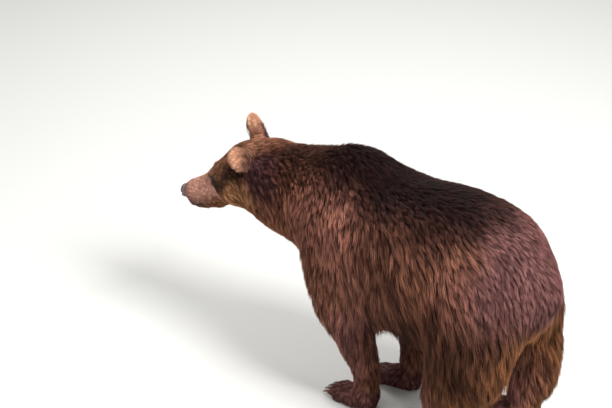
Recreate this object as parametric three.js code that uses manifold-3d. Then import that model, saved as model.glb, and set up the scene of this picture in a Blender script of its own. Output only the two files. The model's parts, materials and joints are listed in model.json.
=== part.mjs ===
// A grown brown bear standing on four feet: nose low and turned a little to its left, the
// forelegs slanting back under the chest, the left hind foot stepped forward under the belly.
// Millimetres, +Z up. The bear faces -Y, its left side is +X, and z = 0 is the floor.
//
// The flesh is one field of distances: rings along the trunk, the head and each limb make smooth
// forms, and the forms melt into each other. The field is turned into surfaces region by region,
// and the regions are parted by thin cuts. Outer sizes include the coat.
import * as THREE from "three";
import { mergeVertices } from "three/addons/utils/BufferGeometryUtils.js";
import Module from "manifold-3d";

const wasm = await Module();
wasm.setup();

// ---- Driving dimensions ----
const GAP = 0.3; // the thin cut between neighbouring solids
const HUMP_Y = -290; // where the hump stands over the forelegs
const HIP_Y = 330; // where the hips stand over the hind legs
const BACK_Z = 770; // middle height of the trunk
const HEAD_BASE = new THREE.Vector3(-35, -780, 770); // the middle of the skull's back
const HEAD_TURN = 20; // degrees that the head turns to the bear's left
const HEAD_DIP = 12; // degrees that the muzzle points below the level
const HEAD_LEAN = 7; // degrees that the head leans over to its left
const SKULL = 400; // from the skull's back to the tip of the nose
const EYE = { forward: 218, side: 60, up: 63, radius: 13 };
const EAR = { forward: 44, side: 122, up: 186, tall: 62, wide: 52, thick: 19 };
// How each ear is held: ahead of its seat, and in degrees leaning out, turned outward and tipped forward.
const EAR_LEFT = { ahead: 0, out: 50, turned: 4, tipped: 28 };
const EAR_RIGHT = { ahead: 12, out: 24, turned: 10, tipped: 12 };
const MOUTH = { corner: 236, up: -66 }; // the line of the lips, from its corner forward
const NOSE = { forward: 385, up: -21, wide: 31, tall: 28, deep: 20 };
// Each paw: the middle of its sole, and how far its toes turn inward.
const FOREPAW_LEFT = { side: 1, x: 116, y: -215, inward: 5 };
const FOREPAW_RIGHT = { side: -1, x: 112, y: -165, inward: 5 };
const HINDPAW_LEFT = { side: 1, x: 150, y: 100, inward: 2 };
const HINDPAW_RIGHT = { side: -1, x: 152, y: 320, inward: 0 };
const FORE = { heel: 66, toes: 82, claw: 66 }; // behind and ahead of the sole's middle
const HIND = { heel: 108, toes: 116, claw: 36 };
const LEG_TOP = 470; // the legs are parted from the trunk at this height
const BELLY_Z = 330; // below the belly
const FORELEG_BACK = -40; // the belly hangs between the forelegs and the hind legs
const HINDLEG_FRONT = 110;
const SPLIT = { 1: -80, [-1]: 60 }; // lower down, where each side's forefoot ends and its hind foot begins
const NECK_Y = -470; // where the neck is parted from the trunk
const HEAD_BACK = -20; // and the head from the neck, in the head's frame
const TAIL_Y = 590;
const MUZZLE = 168; // where the head's finer facets begin, in the head's frame
const WRIST_Z = 96;
const ANKLE_Z = 106;
const TRUNK_CELL = [76, 110, 74]; // size of a facet on each region, along X, Y and Z
const LIMB_CELL = [48, 48, 90];
const PAW_CELL = [34, 44, 32];
const SKULL_CELL = [44, 44, 44];
const MUZZLE_CELL = [24, 24, 24];

const radians = THREE.MathUtils.degToRad;

// ---- Forms: rings along a curve ----

// One ring of a form: its middle, half its width, and how far it reaches to each side of the
// middle, up and down on the trunk and head, ahead and behind on a limb.
const ring = (x, y, z, wide, over, under) => ({ at: new THREE.Vector3(x, y, z), wide, over, under });

const X_AXIS = new THREE.Vector3(1, 0, 0);

// A smooth form through a list of rings. across is the direction of its width. capStart and
// capEnd are how far its round ends reach past the first and last ring.
class Form {
  constructor(rings, { across = X_AXIS, capStart = 60, capEnd = 60, blend = 60, steps = 5 } = {}) {
    this.blend = blend;
    this.capStart = capStart;
    this.capEnd = capEnd;
    const path = new THREE.CatmullRomCurve3(rings.map((r) => r.at), false, "centripetal");
    const last = rings.length - 1;
    const count = last * steps;
    const sized = (key, t) => {
      const i = Math.min(Math.floor(t), last - 1);
      const at = (k) => rings[Math.min(Math.max(k, 0), last)][key];
      const [a, b, c, d] = [at(i - 1), at(i), at(i + 1), at(i + 2)];
      const u = t - i;
      const [bend, twist] = [2 * a - 5 * b + 4 * c - d, 3 * b - a - 3 * c + d];
      return 0.5 * (2 * b + (c - a) * u + bend * u * u + twist * u * u * u);
    };
    this.samples = [];
    for (let k = 0; k <= count; k++) {
      const t = (k / count) * last;
      const tangent = path.getTangent(Math.min(Math.max(t / last, 1e-4), 1 - 1e-4));
      const side = across.clone().addScaledVector(tangent, -across.dot(tangent)).normalize();
      this.samples.push({
        at: path.getPoint(t / last),
        tangent,
        side,
        up: new THREE.Vector3().crossVectors(tangent, side),
        wide: sized("wide", t),
        over: sized("over", t),
        under: sized("under", t),
      });
    }
    this.box = new THREE.Box3();
    for (const s of this.samples) {
      const reach = Math.max(s.wide, s.over, s.under, capStart, capEnd);
      this.box.expandByPoint(s.at.clone().addScalar(reach));
      this.box.expandByPoint(s.at.clone().addScalar(-reach));
    }
  }

  // About how far a point is outside the form, and negative inside it.
  distance(x, y, z) {
    const bx = Math.max(this.box.min.x - x, 0, x - this.box.max.x);
    const by = Math.max(this.box.min.y - y, 0, y - this.box.max.y);
    const bz = Math.max(this.box.min.z - z, 0, z - this.box.max.z);
    const away = Math.hypot(bx, by, bz);
    if (away > this.blend + 40) return away;
    let best = Infinity;
    let index = 0;
    let share = 0;
    for (let i = 0; i + 1 < this.samples.length; i++) {
      const a = this.samples[i].at;
      const b = this.samples[i + 1].at;
      const dx = b.x - a.x;
      const dy = b.y - a.y;
      const dz = b.z - a.z;
      const u = ((x - a.x) * dx + (y - a.y) * dy + (z - a.z) * dz) / (dx * dx + dy * dy + dz * dz);
      const c = Math.min(Math.max(u, 0), 1);
      const d = Math.hypot(x - a.x - c * dx, y - a.y - c * dy, z - a.z - c * dz);
      if (d < best) {
        best = d;
        index = i;
        share = c;
      }
    }
    const a = this.samples[index];
    const b = this.samples[index + 1];
    const mix = (p, q) => p + (q - p) * share;
    const px = x - mix(a.at.x, b.at.x);
    const py = y - mix(a.at.y, b.at.y);
    const pz = z - mix(a.at.z, b.at.z);
    const along = (v) => px * mix(a[v].x, b[v].x) + py * mix(a[v].y, b[v].y) + pz * mix(a[v].z, b[v].z);
    const across = along("side");
    const height = along("up");
    const past = along("tangent");
    const atStart = index === 0 && share === 0;
    const atEnd = index === this.samples.length - 2 && share === 1;
    const wide = mix(a.wide, b.wide);
    const tall = height > 0 ? mix(a.over, b.over) : mix(a.under, b.under);
    const cap = atStart ? this.capStart : atEnd ? this.capEnd : Infinity;
    return ellipsoidDistance(across, height, past, wide, tall, cap);
  }
}

// The distance of a point to an ellipsoid about the origin with half sizes a, b and c.
function ellipsoidDistance(x, y, z, a, b, c) {
  const near = Math.hypot(x / a, y / b, z / c);
  const steep = Math.hypot(x / (a * a), y / (b * b), z / (c * c));
  return steep < 1e-9 ? -Math.min(a, b, c) : (near * (near - 1)) / steep;
}

// The smaller of two distances, rounded where they meet over about the width k.
function meld(a, b, k) {
  const h = Math.max(k - Math.abs(a - b), 0) / k;
  return Math.min(a, b) - (h * h * k) / 4;
}

// An egg, such as a muscle or a cheek: its middle, its half sizes, and the way it is turned.
class Egg {
  constructor(at, sizes, turn = new THREE.Quaternion(), blend = 50) {
    this.at = at;
    this.sizes = sizes;
    this.back = turn.clone().invert();
    this.blend = blend;
    this.point = new THREE.Vector3();
  }

  distance(x, y, z) {
    const p = this.point.set(x - this.at.x, y - this.at.y, z - this.at.z).applyQuaternion(this.back);
    return ellipsoidDistance(p.x, p.y, p.z, this.sizes.x, this.sizes.y, this.sizes.z);
  }
}

const vec = (x, y, z) => new THREE.Vector3(x, y, z);

// ---- Trunk and neck ----
function trunkForms() {
  const barrel = new Form(
    [
      ring(0, HIP_Y + 190, BACK_Z - 112, 160, 165, 205),
      ring(0, HIP_Y + 100, BACK_Z - 62, 228, 208, 288),
      ring(0, HIP_Y - 20, BACK_Z - 10, 276, 257, 350),
      ring(0, HIP_Y - 210, BACK_Z, 298, 263, 410),
      ring(0, HUMP_Y + 230, BACK_Z, 290, 242, 405),
      ring(0, HUMP_Y + 50, BACK_Z + 5, 262, 268, 360),
      ring(0, HUMP_Y - 110, BACK_Z + 5, 215, 270, 265),
      ring(0, HUMP_Y - 260, BACK_Z, 186, 248, 196),
      ring(0, HUMP_Y - 410, BACK_Z, 174, 223, 154),
      ring(-14, HUMP_Y - 520, BACK_Z + 22, 164, 178, 124),
      ring(-18, HUMP_Y - 570, BACK_Z + 34, 142, 136, 92),
    ],
    { capStart: 90, capEnd: 36, blend: 80 },
  );
  const hump = new Egg(vec(0, HUMP_Y + 5, BACK_Z + 207), vec(120, 160, 122), undefined, 64);
  return [barrel, hump];
}

const tail = new Form(
  [
    ring(0, HIP_Y + 262, 780, 38, 30, 30),
    ring(0, HIP_Y + 292, 725, 36, 28, 28),
    ring(0, HIP_Y + 298, 680, 30, 24, 24),
  ],
  { capStart: 30, capEnd: 34, blend: 30 },
);

// ---- Head: a frame of its own, forward along the skull, to its left, and up ----
const headTurn = new THREE.Quaternion().setFromEuler(
  new THREE.Euler(radians(HEAD_DIP), radians(HEAD_LEAN), radians(HEAD_TURN), "ZXY"),
);
const headPoint = (forward, left, up) => vec(left, -forward, up).applyQuaternion(headTurn).add(HEAD_BASE);
const headRing = (forward, up, wide, over, under) => {
  const at = headPoint(forward, 0, up);
  return ring(at.x, at.y, at.z, wide, over, under);
};

const headAcross = vec(1, 0, 0).applyQuaternion(headTurn);

function headForms() {
  const skull = new Form(
    [
      headRing(-40, 38, 143, 152, 96),
      headRing(40, 40, 143, 150, 94),
      headRing(110, 32, 134, 136, 90),
      headRing(165, 22, 108, 98, 92),
      headRing(210, 4, 71, 79, 95),
      headRing(255, -14, 57, 66, 84),
      headRing(300, -22, 51, 60, 68),
      headRing(350, -21, 47, 45, 51),
      headRing(381, -23, 36, 28, 36),
    ],
    { across: headAcross, capStart: 90, capEnd: 11, blend: 34 },
  );
  const jaw = new Form(
    [headRing(225, -62, 56, 30, 50), headRing(295, -68, 40, 24, 48), headRing(342, -72, 32, 22, 41)],
    { across: headAcross, capStart: 30, capEnd: 24, blend: 14 },
  );
  const eggs = [1, -1].flatMap((side) => [
    new Egg(headPoint(206, side * 43, 58), vec(26, 40, 15), headTurn, 26), // brow
    new Egg(headPoint(118, side * 88, 14), vec(62, 82, 62), headTurn, 50), // cheek
  ]);
  return [skull, jaw, ...eggs];
}

// ---- Limbs ----
const pawPoint = (paw, ahead, out, z) => {
  const turn = radians(paw.side * -paw.inward);
  const [right, back] = [paw.side * out, -ahead];
  return vec(
    paw.side * paw.x + right * Math.cos(turn) - back * Math.sin(turn),
    paw.y + right * Math.sin(turn) + back * Math.cos(turn),
    z,
  );
};

// A limb's rings give its height, its middle outward from and ahead of the sole's middle, half
// its width, and how far it reaches ahead and behind.
function limb(paw, rows) {
  const rings = rows.map(([z, out, ahead, wide, over, under]) => {
    const side = paw.side * (paw.x + out);
    return ring(side, paw.y - ahead, z, wide, over, under);
  });
  return new Form(rings, { blend: 70, capStart: 90, capEnd: 36 });
}

function paw(sole, rows) {
  const rings = rows.map(([ahead, z, wide, over, under]) => {
    const at = pawPoint(sole, ahead, 0, z);
    return ring(at.x, at.y, at.z, wide, over, under);
  });
  return new Form(rings, { capStart: 38, capEnd: 22, blend: 30 });
}

// The middles of a paw's five toes: outward from its middle line, and how far short each is.
const TOE = new THREE.Vector3(15.5, 34, 29); // half sizes
const TOES = [-50, -26, 0, 25, 48].map((out, i) => ({ out, short: [16, 3, 0, 4, 14][i] }));

function forelegForms(sole) {
  const shoulder = sole.y - HUMP_Y; // how far the shoulder is ahead of the sole
  return [
    limb(sole, [
      [780, 44, shoulder + 10, 110, 140, 170],
      [620, 64, shoulder + 14, 108, 130, 150],
      [480, 58, shoulder - 12, 98, 118, 124],
      [365, 44, 0, 86, 92, 106],
      [275, 32, -30, 74, 76, 92],
      [190, 18, -50, 62, 62, 72],
      [110, 5, -55, 56, 56, 56],
      [58, 2, -46, 58, 58, 48],
    ]),
    paw(sole, [
      [-FORE.heel, 44, 54, 42, 52],
      [0, 42, 64, 42, 52],
      [FORE.toes - 26, 34, 66, 34, 42],
    ]),
  ];
}

function hindlegForms(sole, lift) {
  const hip = sole.y - HIP_Y; // how far the hip is ahead of the sole
  return [
    limb(sole, [
      [700, -6, hip - 6, 124, 165, 180],
      [600, 20, hip - 16, 136, 188, 212],
      [480, 34, hip - 20, 122, 180, 205],
      [350, 28, hip / 2 - 84, 100, 150, 160],
      [240, 16, lift - 150, 80, 122, 118],
      [150, 6, lift - 136, 64, 98, 76],
      [80, 0, -112, 56, 80, 56],
    ]),
    paw(sole, [
      [-HIND.heel, 44, 46, 40, 52],
      [10, 48, 56, 56, 56],
      [HIND.toes - 26, 34, 62, 34, 42],
    ]),
  ];
}

const forms = [
  ...trunkForms(),
  ...headForms(),
  tail,
  ...forelegForms(FOREPAW_LEFT),
  ...forelegForms(FOREPAW_RIGHT),
  ...hindlegForms(HINDPAW_LEFT, 0),
  ...hindlegForms(HINDPAW_RIGHT, 36),
];

function flesh(x, y, z) {
  let d = Infinity;
  for (const form of forms) {
    const other = form.distance(x, y, z);
    d = d === Infinity ? other : meld(d, other, form.blend);
  }
  return d;
}

// ---- Surfaces from a field ----

// A grid cell's corners, its edges along X, then Y, then Z, and the corners round each face.
const CORNERS = [0, 1, 2, 3, 4, 5, 6, 7].map((c) => [c & 1, (c >> 1) & 1, c >> 2]);
const EDGES = [
  [0, 1], [2, 3], [4, 5], [6, 7],
  [0, 2], [1, 3], [4, 6], [5, 7],
  [0, 4], [1, 5], [2, 6], [3, 7],
];
const FACES = [[0, 2, 6, 4], [1, 3, 7, 5], [0, 1, 5, 4], [2, 3, 7, 6], [0, 1, 3, 2], [4, 5, 7, 6]];
const edgeBetween = (p, q) => EDGES.findIndex(([a, b]) => (a === p && b === q) || (a === q && b === p));

// The edge of a cell that runs along an axis, at place p and q on the next two axes.
function edgeAt(axis, p, q) {
  const from = [0, 0, 0];
  from[(axis + 1) % 3] = p;
  from[(axis + 2) % 3] = q;
  const corner = from[0] + 2 * from[1] + 4 * from[2];
  return edgeBetween(corner, corner + (1 << axis));
}

// Which of a cell's edges the surface crosses in one piece: edges with the same number. Where a
// face has inner corners at both ends of a diagonal, the surface goes round each of them.
function loopsOf(inner) {
  const group = EDGES.map(([p, q], e) => (inner[p] === inner[q] ? -1 : e));
  const link = (e, f) => {
    const [low, high] = [Math.min(group[e], group[f]), Math.max(group[e], group[f])];
    group.forEach((g, i) => {
      if (g === high) group[i] = low;
    });
  };
  for (const face of FACES) {
    const crossed = [0, 1, 2, 3].filter((c) => inner[face[c]] !== inner[face[(c + 1) % 4]]);
    const edgeFrom = (c) => edgeBetween(face[c % 4], face[(c + 1) % 4]);
    if (crossed.length === 2) link(edgeFrom(crossed[0]), edgeFrom(crossed[1]));
    if (crossed.length === 4)
      for (const c of [0, 1, 2, 3]) if (inner[face[c]]) link(edgeFrom(c + 3), edgeFrom(c));
  }
  return group;
}

// The surface where a field of distances is zero, inside a box, as a closed geometry.
function surfaceOf(field, box, cell) {
  const size = box.getSize(new THREE.Vector3());
  const n = [0, 1, 2].map((axis) => Math.ceil(size.getComponent(axis) / cell[axis]) + 2);
  const at = (i, axis) => box.min.getComponent(axis) + (i - 0.5) * cell[axis];
  const index = (i, j, k) => i + n[0] * (j + n[1] * k);
  const values = new Float32Array(n[0] * n[1] * n[2]);
  for (let k = 0; k < n[2]; k++)
    for (let j = 0; j < n[1]; j++)
      for (let i = 0; i < n[0]; i++) {
        const edge = i === 0 || j === 0 || k === 0 || i === n[0] - 1 || j === n[1] - 1 || k === n[2] - 1;
        values[index(i, j, k)] = edge ? cell[0] / 2 : field(at(i, 0), at(j, 1), at(k, 2));
      }
  const points = [];
  const loops = new Map();
  for (let k = 0; k + 1 < n[2]; k++)
    for (let j = 0; j + 1 < n[1]; j++)
      for (let i = 0; i + 1 < n[0]; i++) {
        const v = CORNERS.map(([a, b, c]) => values[index(i + a, j + b, k + c)]);
        if (v.every((d) => d < 0) || v.every((d) => d >= 0)) continue;
        const loopOf = loopsOf(v.map((d) => d < 0));
        const pointOf = new Int32Array(12).fill(-1);
        for (let loop = 0; loop < 12; loop++) {
          const own = EDGES.map((_, e) => e).filter((e) => loopOf[e] === loop);
          if (!own.length) continue;
          const sum = [0, 0, 0];
          for (const e of own) {
            const [p, q] = EDGES[e];
            const t = v[p] / (v[p] - v[q]);
            for (let axis = 0; axis < 3; axis++)
              sum[axis] += CORNERS[p][axis] + t * (CORNERS[q][axis] - CORNERS[p][axis]);
            pointOf[e] = points.length / 3;
          }
          const share = own.length;
          points.push(at(i + sum[0] / share, 0), at(j + sum[1] / share, 1), at(k + sum[2] / share, 2));
        }
        loops.set(index(i, j, k), pointOf);
      }
  settle(points, field, box, cell);
  const faces = [];
  const squared = (a, b) => [0, 1, 2].reduce((s, c) => s + (points[3 * a + c] - points[3 * b + c]) ** 2, 0);
  const quad = (a, b, c, d) => {
    if (squared(a, c) < squared(b, d)) faces.push(a, b, c, a, c, d);
    else faces.push(a, b, d, b, c, d);
  };
  for (let k = 0; k + 1 < n[2]; k++)
    for (let j = 0; j + 1 < n[1]; j++)
      for (let i = 0; i + 1 < n[0]; i++) {
        const here = values[index(i, j, k)] < 0;
        for (let axis = 0; axis < 3; axis++) {
          const step = [0, 0, 0];
          step[axis] = 1;
          const there = values[index(i + step[0], j + step[1], k + step[2])] < 0;
          if (here === there) continue;
          const b = (axis + 1) % 3;
          const c = (axis + 2) % 3;
          const around = [[0, 0], [-1, 0], [-1, -1], [0, -1]].map(([p, q]) => {
            const o = [i, j, k];
            o[b] += p;
            o[c] += q;
            return loops.get(index(...o))[edgeAt(axis, -p, -q)];
          });
          if (here) quad(...around);
          else quad(around[3], around[2], around[1], around[0]);
        }
      }
  return { points, faces };
}

// Moves each point of a rough surface onto the field's true zero, but not out of its own cell.
function settle(points, field, box, cell) {
  const step = 0.5;
  for (let i = 0; i < points.length; i += 3)
    for (let round = 0; round < 2; round++) {
      const [x, y, z] = points.slice(i, i + 3);
      const outer = (v, axis) =>
        v < box.min.getComponent(axis) + cell[axis] / 2 || v > box.max.getComponent(axis) - cell[axis] / 2;
      if ([x, y, z].some(outer)) continue;
      const d = field(x, y, z);
      const ahead = [field(x + step, y, z), field(x, y + step, z), field(x, y, z + step)];
      const slope = ahead.map((value) => (value - d) / step);
      const steep = slope.reduce((s, v) => s + v * v, 0);
      const most = Math.min(...cell) / 3;
      const move = Math.min(Math.max(d / Math.max(steep, 0.2), -most), most);
      for (let axis = 0; axis < 3; axis++) points[i + axis] -= move * slope[axis];
    }
}

function solidOf(field, box, cell) {
  const { points, faces } = surfaceOf(field, box, cell);
  return new wasm.Manifold(
    new wasm.Mesh({ numProp: 3, vertProperties: new Float32Array(points), triVerts: new Uint32Array(faces) }),
  );
}

// A closed geometry as a solid.
function manifoldOf(geometry) {
  geometry.deleteAttribute("normal");
  geometry.deleteAttribute("uv");
  const { attributes, index } = mergeVertices(geometry, 1e-3);
  const vertProperties = new Float32Array(attributes.position.array);
  const triVerts = new Uint32Array(index.array);
  return new wasm.Manifold(new wasm.Mesh({ numProp: 3, vertProperties, triVerts }));
}

// The same solid a little way off.
function moved(solid, by) {
  const { vertProperties, triVerts } = solid.getMesh();
  const shifted = vertProperties.map((v, i) => v + by.getComponent(i % 3));
  return new wasm.Manifold(new wasm.Mesh({ numProp: 3, vertProperties: shifted, triVerts }));
}

// A box between two corners, turned and then moved.
function block(low, high, turn = new THREE.Quaternion(), move = vec(0, 0, 0)) {
  const size = high.clone().sub(low);
  const middle = low.clone().add(high).multiplyScalar(0.5);
  const geometry = new THREE.BoxGeometry(size.x, size.y, size.z).translate(middle.x, middle.y, middle.z);
  return manifoldOf(geometry.applyQuaternion(turn).translate(move.x, move.y, move.z));
}

// The box round a shape given by its own box in the head's frame.
const headBox = (from, to, left, low, high) => {
  const box = new THREE.Box3();
  for (const f of [from, to])
    for (const l of [-left, left]) for (const u of [low, high]) box.expandByPoint(headPoint(f, l, u));
  return box;
};
const headBlock = (from, to, low, high) =>
  block(vec(-400, -to, low), vec(400, -from, high), headTurn, HEAD_BASE);

// An ellipsoid as a solid.
const ball = (at, sizes, turn, sides = 10) => {
  const geometry = new THREE.SphereGeometry(1, sides, Math.ceil(sides * 0.7));
  geometry.scale(sizes.x, sizes.y, sizes.z);
  return manifoldOf(geometry.applyQuaternion(turn).translate(at.x, at.y, at.z));
};

// ---- Nodes of the trunk and the limbs ----
const half = GAP / 2;

// The part of one side below the trunk: for a leg between two heights, and between front and back.
const underBlock = (side, front, back, low, high) =>
  block(vec(side > 0 ? half : -500, front, low), vec(side > 0 ? 500 : -half, back, high));

// The space of a leg: under the trunk, and lower down as far as the next leg of its side.
const forelegSpace = (side, low, grow) =>
  underBlock(side, -700, FORELEG_BACK + grow, BELLY_Z - 1, LEG_TOP + grow).add(
    underBlock(side, -700, SPLIT[side] + grow, low - grow, BELLY_Z),
  );
const hindlegSpace = (side, low, grow) =>
  underBlock(side, HINDLEG_FRONT - grow, 900, BELLY_Z - 1, LEG_TOP + grow).add(
    underBlock(side, SPLIT[side] - grow, 900, low - grow, BELLY_Z),
  );

function trunkAndNeck() {
  const trunkBox = new THREE.Box3(vec(-420, NECK_Y - 120, BELLY_Z - 90), vec(420, 780, 1220));
  const flanks = solidOf(flesh, trunkBox, TRUNK_CELL).intersect(
    block(vec(-500, NECK_Y + half, BELLY_Z), vec(500, 900, 1300)),
  );
  const tailSpace = (grow) =>
    block(vec(-70 - grow, TAIL_Y - grow, 640 - grow), vec(70 + grow, 900, 880 + grow));
  const bare = [1, -1].reduce(
    (solid, side) => solid.subtract(forelegSpace(side, 0, half)).subtract(hindlegSpace(side, 0, half)),
    flanks,
  );
  const tailBox = new THREE.Box3(vec(-110, TAIL_Y - 60, 590), vec(110, 760, 930));
  const neckBox = new THREE.Box3(vec(-330, -1000, 380), vec(330, NECK_Y + 100, 1180));
  return {
    trunk: bare.subtract(tailSpace(half)),
    tail: solidOf(flesh, tailBox, LIMB_CELL).intersect(tailSpace(-half)),
    neck: solidOf(flesh, neckBox, TRUNK_CELL)
      .intersect(block(vec(-500, -1200, 0), vec(500, NECK_Y - half, 1300)))
      .subtract(headBlock(HEAD_BACK - half, 700, -700, 700)),
  };
}

// ---- Paws and claws ----

// A round, tapering, curving form: its path, its half widths and heights, and its sides.
function horn(path, wide, tall, across, sides = 5) {
  const points = [];
  const faces = [];
  path.slice(0, -1).forEach((at, i) => {
    const tangent = path[i + 1].clone().sub(path[Math.max(i - 1, 0)]).normalize();
    const up = new THREE.Vector3().crossVectors(tangent, across).normalize();
    for (let k = 0; k < sides; k++) {
      const a = (k / sides) * 2 * Math.PI;
      const aside = at.clone().addScaledVector(across, wide[i] * Math.cos(a));
      points.push(aside.addScaledVector(up, tall[i] * Math.sin(a)));
    }
  });
  const rings = path.length - 1;
  points.push(path[rings], path[0]);
  for (let k = 0; k < sides; k++) {
    const next = (k + 1) % sides;
    for (let i = 0; i + 1 < rings; i++) {
      const [a, b, c, d] = [i * sides + k, i * sides + next, (i + 1) * sides + next, (i + 1) * sides + k];
      faces.push(a, b, c, a, c, d);
    }
    const last = (rings - 1) * sides;
    faces.push(last + k, last + next, points.length - 2, next, k, points.length - 1);
  }
  const geometry = new THREE.BufferGeometry().setFromPoints(points).setIndex(faces);
  return manifoldOf(geometry);
}

function clawOf(sole, toes, toe, long) {
  const turn = radians(sole.side * -sole.inward);
  const across = vec(Math.cos(turn), Math.sin(turn), 0);
  const path = [];
  let [ahead, z] = [toes - toe.short + 16, long > 50 ? 32 : 25];
  for (let i = 0; i <= 3; i++) {
    path.push(pawPoint(sole, ahead, toe.out, z));
    const slope = radians(i * -19 - 2);
    ahead += (long / 2.5) * Math.cos(slope);
    z += (long / 2.5) * Math.sin(slope);
  }
  const thick = [1, 0.95, 0.66].map((share) => 7.5 * share);
  return horn(path, thick.map((t) => t * 0.8), thick.map((t) => t * 1.15), across);
}

function pawAndClaws(sole, size, name, space) {
  const reach = Math.max(size.heel, size.toes) + 90;
  const box = new THREE.Box3(
    vec(sole.side * sole.x - 130, sole.y - reach, -40),
    vec(sole.side * sole.x + 130, sole.y + reach, space.high + 45),
  );
  const { front, back, high } = space;
  const turn = new THREE.Quaternion().setFromAxisAngle(vec(0, 0, 1), radians(sole.side * -sole.inward));
  const toeOf = ({ out, short }, grow) =>
    ball(pawPoint(sole, size.toes - short, out, 25), TOE.clone().addScalar(grow), turn, 6);
  const foot = TOES.reduce((solid, toe) => solid.add(toeOf(toe, 0)), solidOf(flesh, box, PAW_CELL));
  const parts = { [name]: foot.intersect(underBlock(sole.side, front, back, 0, high - half)) };
  TOES.forEach((toe, i) => {
    parts[`${name}_claw_${i + 1}`] = clawOf(sole, size.toes, toe, size.claw).subtract(toeOf(toe, 1));
  });
  return parts;
}

function legsAndPaws() {
  const parts = {};
  const sides = [["left", FOREPAW_LEFT, HINDPAW_LEFT], ["right", FOREPAW_RIGHT, HINDPAW_RIGHT]];
  for (const [where, fore, hind] of sides) {
    const split = SPLIT[fore.side];
    const sideX = (x) => (fore.side > 0 ? [x, 420] : [-420, -x]);
    const [low, high] = sideX(-70);
    const legBox = (front, back, foot) =>
      new THREE.Box3(vec(low, front, foot - 60), vec(high, back, LEG_TOP + 60));
    parts[`foreleg_${where}`] = solidOf(flesh, legBox(-560, split + 80, WRIST_Z), LIMB_CELL).intersect(
      forelegSpace(fore.side, WRIST_Z + GAP, -half),
    );
    parts[`hindleg_${where}`] = solidOf(flesh, legBox(split - 80, 760, ANKLE_Z), LIMB_CELL).intersect(
      hindlegSpace(hind.side, ANKLE_Z + GAP, -half),
    );
    const foreSpace = { front: -700, back: split - half, high: WRIST_Z };
    const hindSpace = { front: split + half, back: 900, high: ANKLE_Z };
    Object.assign(parts, pawAndClaws(fore, FORE, `forepaw_${where}`, foreSpace));
    Object.assign(parts, pawAndClaws(hind, HIND, `hindpaw_${where}`, hindSpace));
  }
  return parts;
}

// ---- Nodes of the head ----
// An ear: a thick round leaf, hollow on the side that it turns forward.
function ear(side, set) {
  const turn = headTurn
    .clone()
    .multiply(new THREE.Quaternion().setFromAxisAngle(vec(0, 1, 0), radians(side * set.out)))
    .multiply(new THREE.Quaternion().setFromAxisAngle(vec(0, 0, 1), radians(side * set.turned)))
    .multiply(new THREE.Quaternion().setFromAxisAngle(vec(1, 0, 0), radians(set.tipped)));
  const at = headPoint(EAR.forward + set.ahead, side * EAR.side, EAR.up);
  const hollow = vec(0, -EAR.thick * 1.1, 0).applyQuaternion(turn).add(at);
  return ball(at, vec(EAR.wide, EAR.thick, EAR.tall), turn, 11).subtract(
    ball(hollow, vec(EAR.wide * 0.74, EAR.thick * 1.2, EAR.tall * 0.78), turn, 9),
  );
}

function headParts() {
  const backBox = headBox(HEAD_BACK - 40, MUZZLE + 40, 190, -190, 240);
  const frontBox = headBox(MUZZLE - 40, SKULL + 20, 110, -130, 140);
  const backSpace = headBlock(HEAD_BACK + half, MUZZLE + 4, -700, 700);
  const back = solidOf(flesh, backBox, SKULL_CELL).intersect(backSpace);
  const front = solidOf(flesh, frontBox, MUZZLE_CELL).intersect(headBlock(MUZZLE, 700, -700, 700));
  const skull = back.add(front);
  const seat = (side) => moved(skull, vec(side * 0.5, 0, 0.6).applyQuaternion(headTurn));
  const noseAt = headPoint(NOSE.forward, 0, NOSE.up);
  const nostril = (side) =>
    ball(headPoint(NOSE.forward + NOSE.deep, side * 14, NOSE.up - 3), vec(6.5, 13, 8), headTurn, 6);
  const nostrils = (solid) => [1, -1].reduce((left, side) => left.subtract(nostril(side)), solid);
  const pad = (grow) => ball(noseAt, vec(NOSE.wide + grow, NOSE.deep + grow, NOSE.tall + grow), headTurn, 9);
  const eyeball = (side, grow) => {
    const size = EYE.radius + grow;
    return ball(headPoint(EYE.forward, side * EYE.side, EYE.up), vec(size, size, size), headTurn, 10);
  };
  const jawSpace = (grow) => headBlock(MOUTH.corner - grow, 700, -400, MOUTH.up + grow);
  const bare = skull.subtract(pad(GAP)).subtract(eyeball(1, GAP)).subtract(eyeball(-1, GAP));
  return {
    head: bare.subtract(jawSpace(half)),
    lower_jaw: bare.intersect(jawSpace(-half)),
    nose: nostrils(pad(0)),
    eye_left: eyeball(1, 0),
    eye_right: eyeball(-1, 0),
    ear_left: ear(1, EAR_LEFT).subtract(seat(1)),
    ear_right: ear(-1, EAR_RIGHT).subtract(seat(-1)),
  };
}

// ---- The bear ----
const COLOURS = {
  claw: 0x3a2a22,
  nose: 0x4a3a40,
  eye: 0x120a08,
  ear: 0x9a6f4e,
  head: 0x6b4632,
  jaw: 0x7a5540,
};
const colourOf = (name) => COLOURS[Object.keys(COLOURS).find((key) => name.includes(key))] ?? 0x4a2d22;

// The faces of the largest closed body in a list of faces: a cut can leave crumbs beside it.
function mainBody(faces, count) {
  const root = Int32Array.from({ length: count }, (_, i) => i);
  const find = (i) => {
    while (root[i] !== i) i = root[i] = root[root[i]];
    return i;
  };
  for (let t = 0; t < faces.length; t += 3) for (const k of [1, 2]) root[find(faces[t + k])] = find(faces[t]);
  const sizes = new Map();
  for (let t = 0; t < faces.length; t += 3) sizes.set(find(faces[t]), (sizes.get(find(faces[t])) ?? 0) + 1);
  const main = [...sizes].sort((a, b) => b[1] - a[1])[0][0];
  return faces.filter((_, i) => find(faces[i - (i % 3)]) === main);
}

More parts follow.
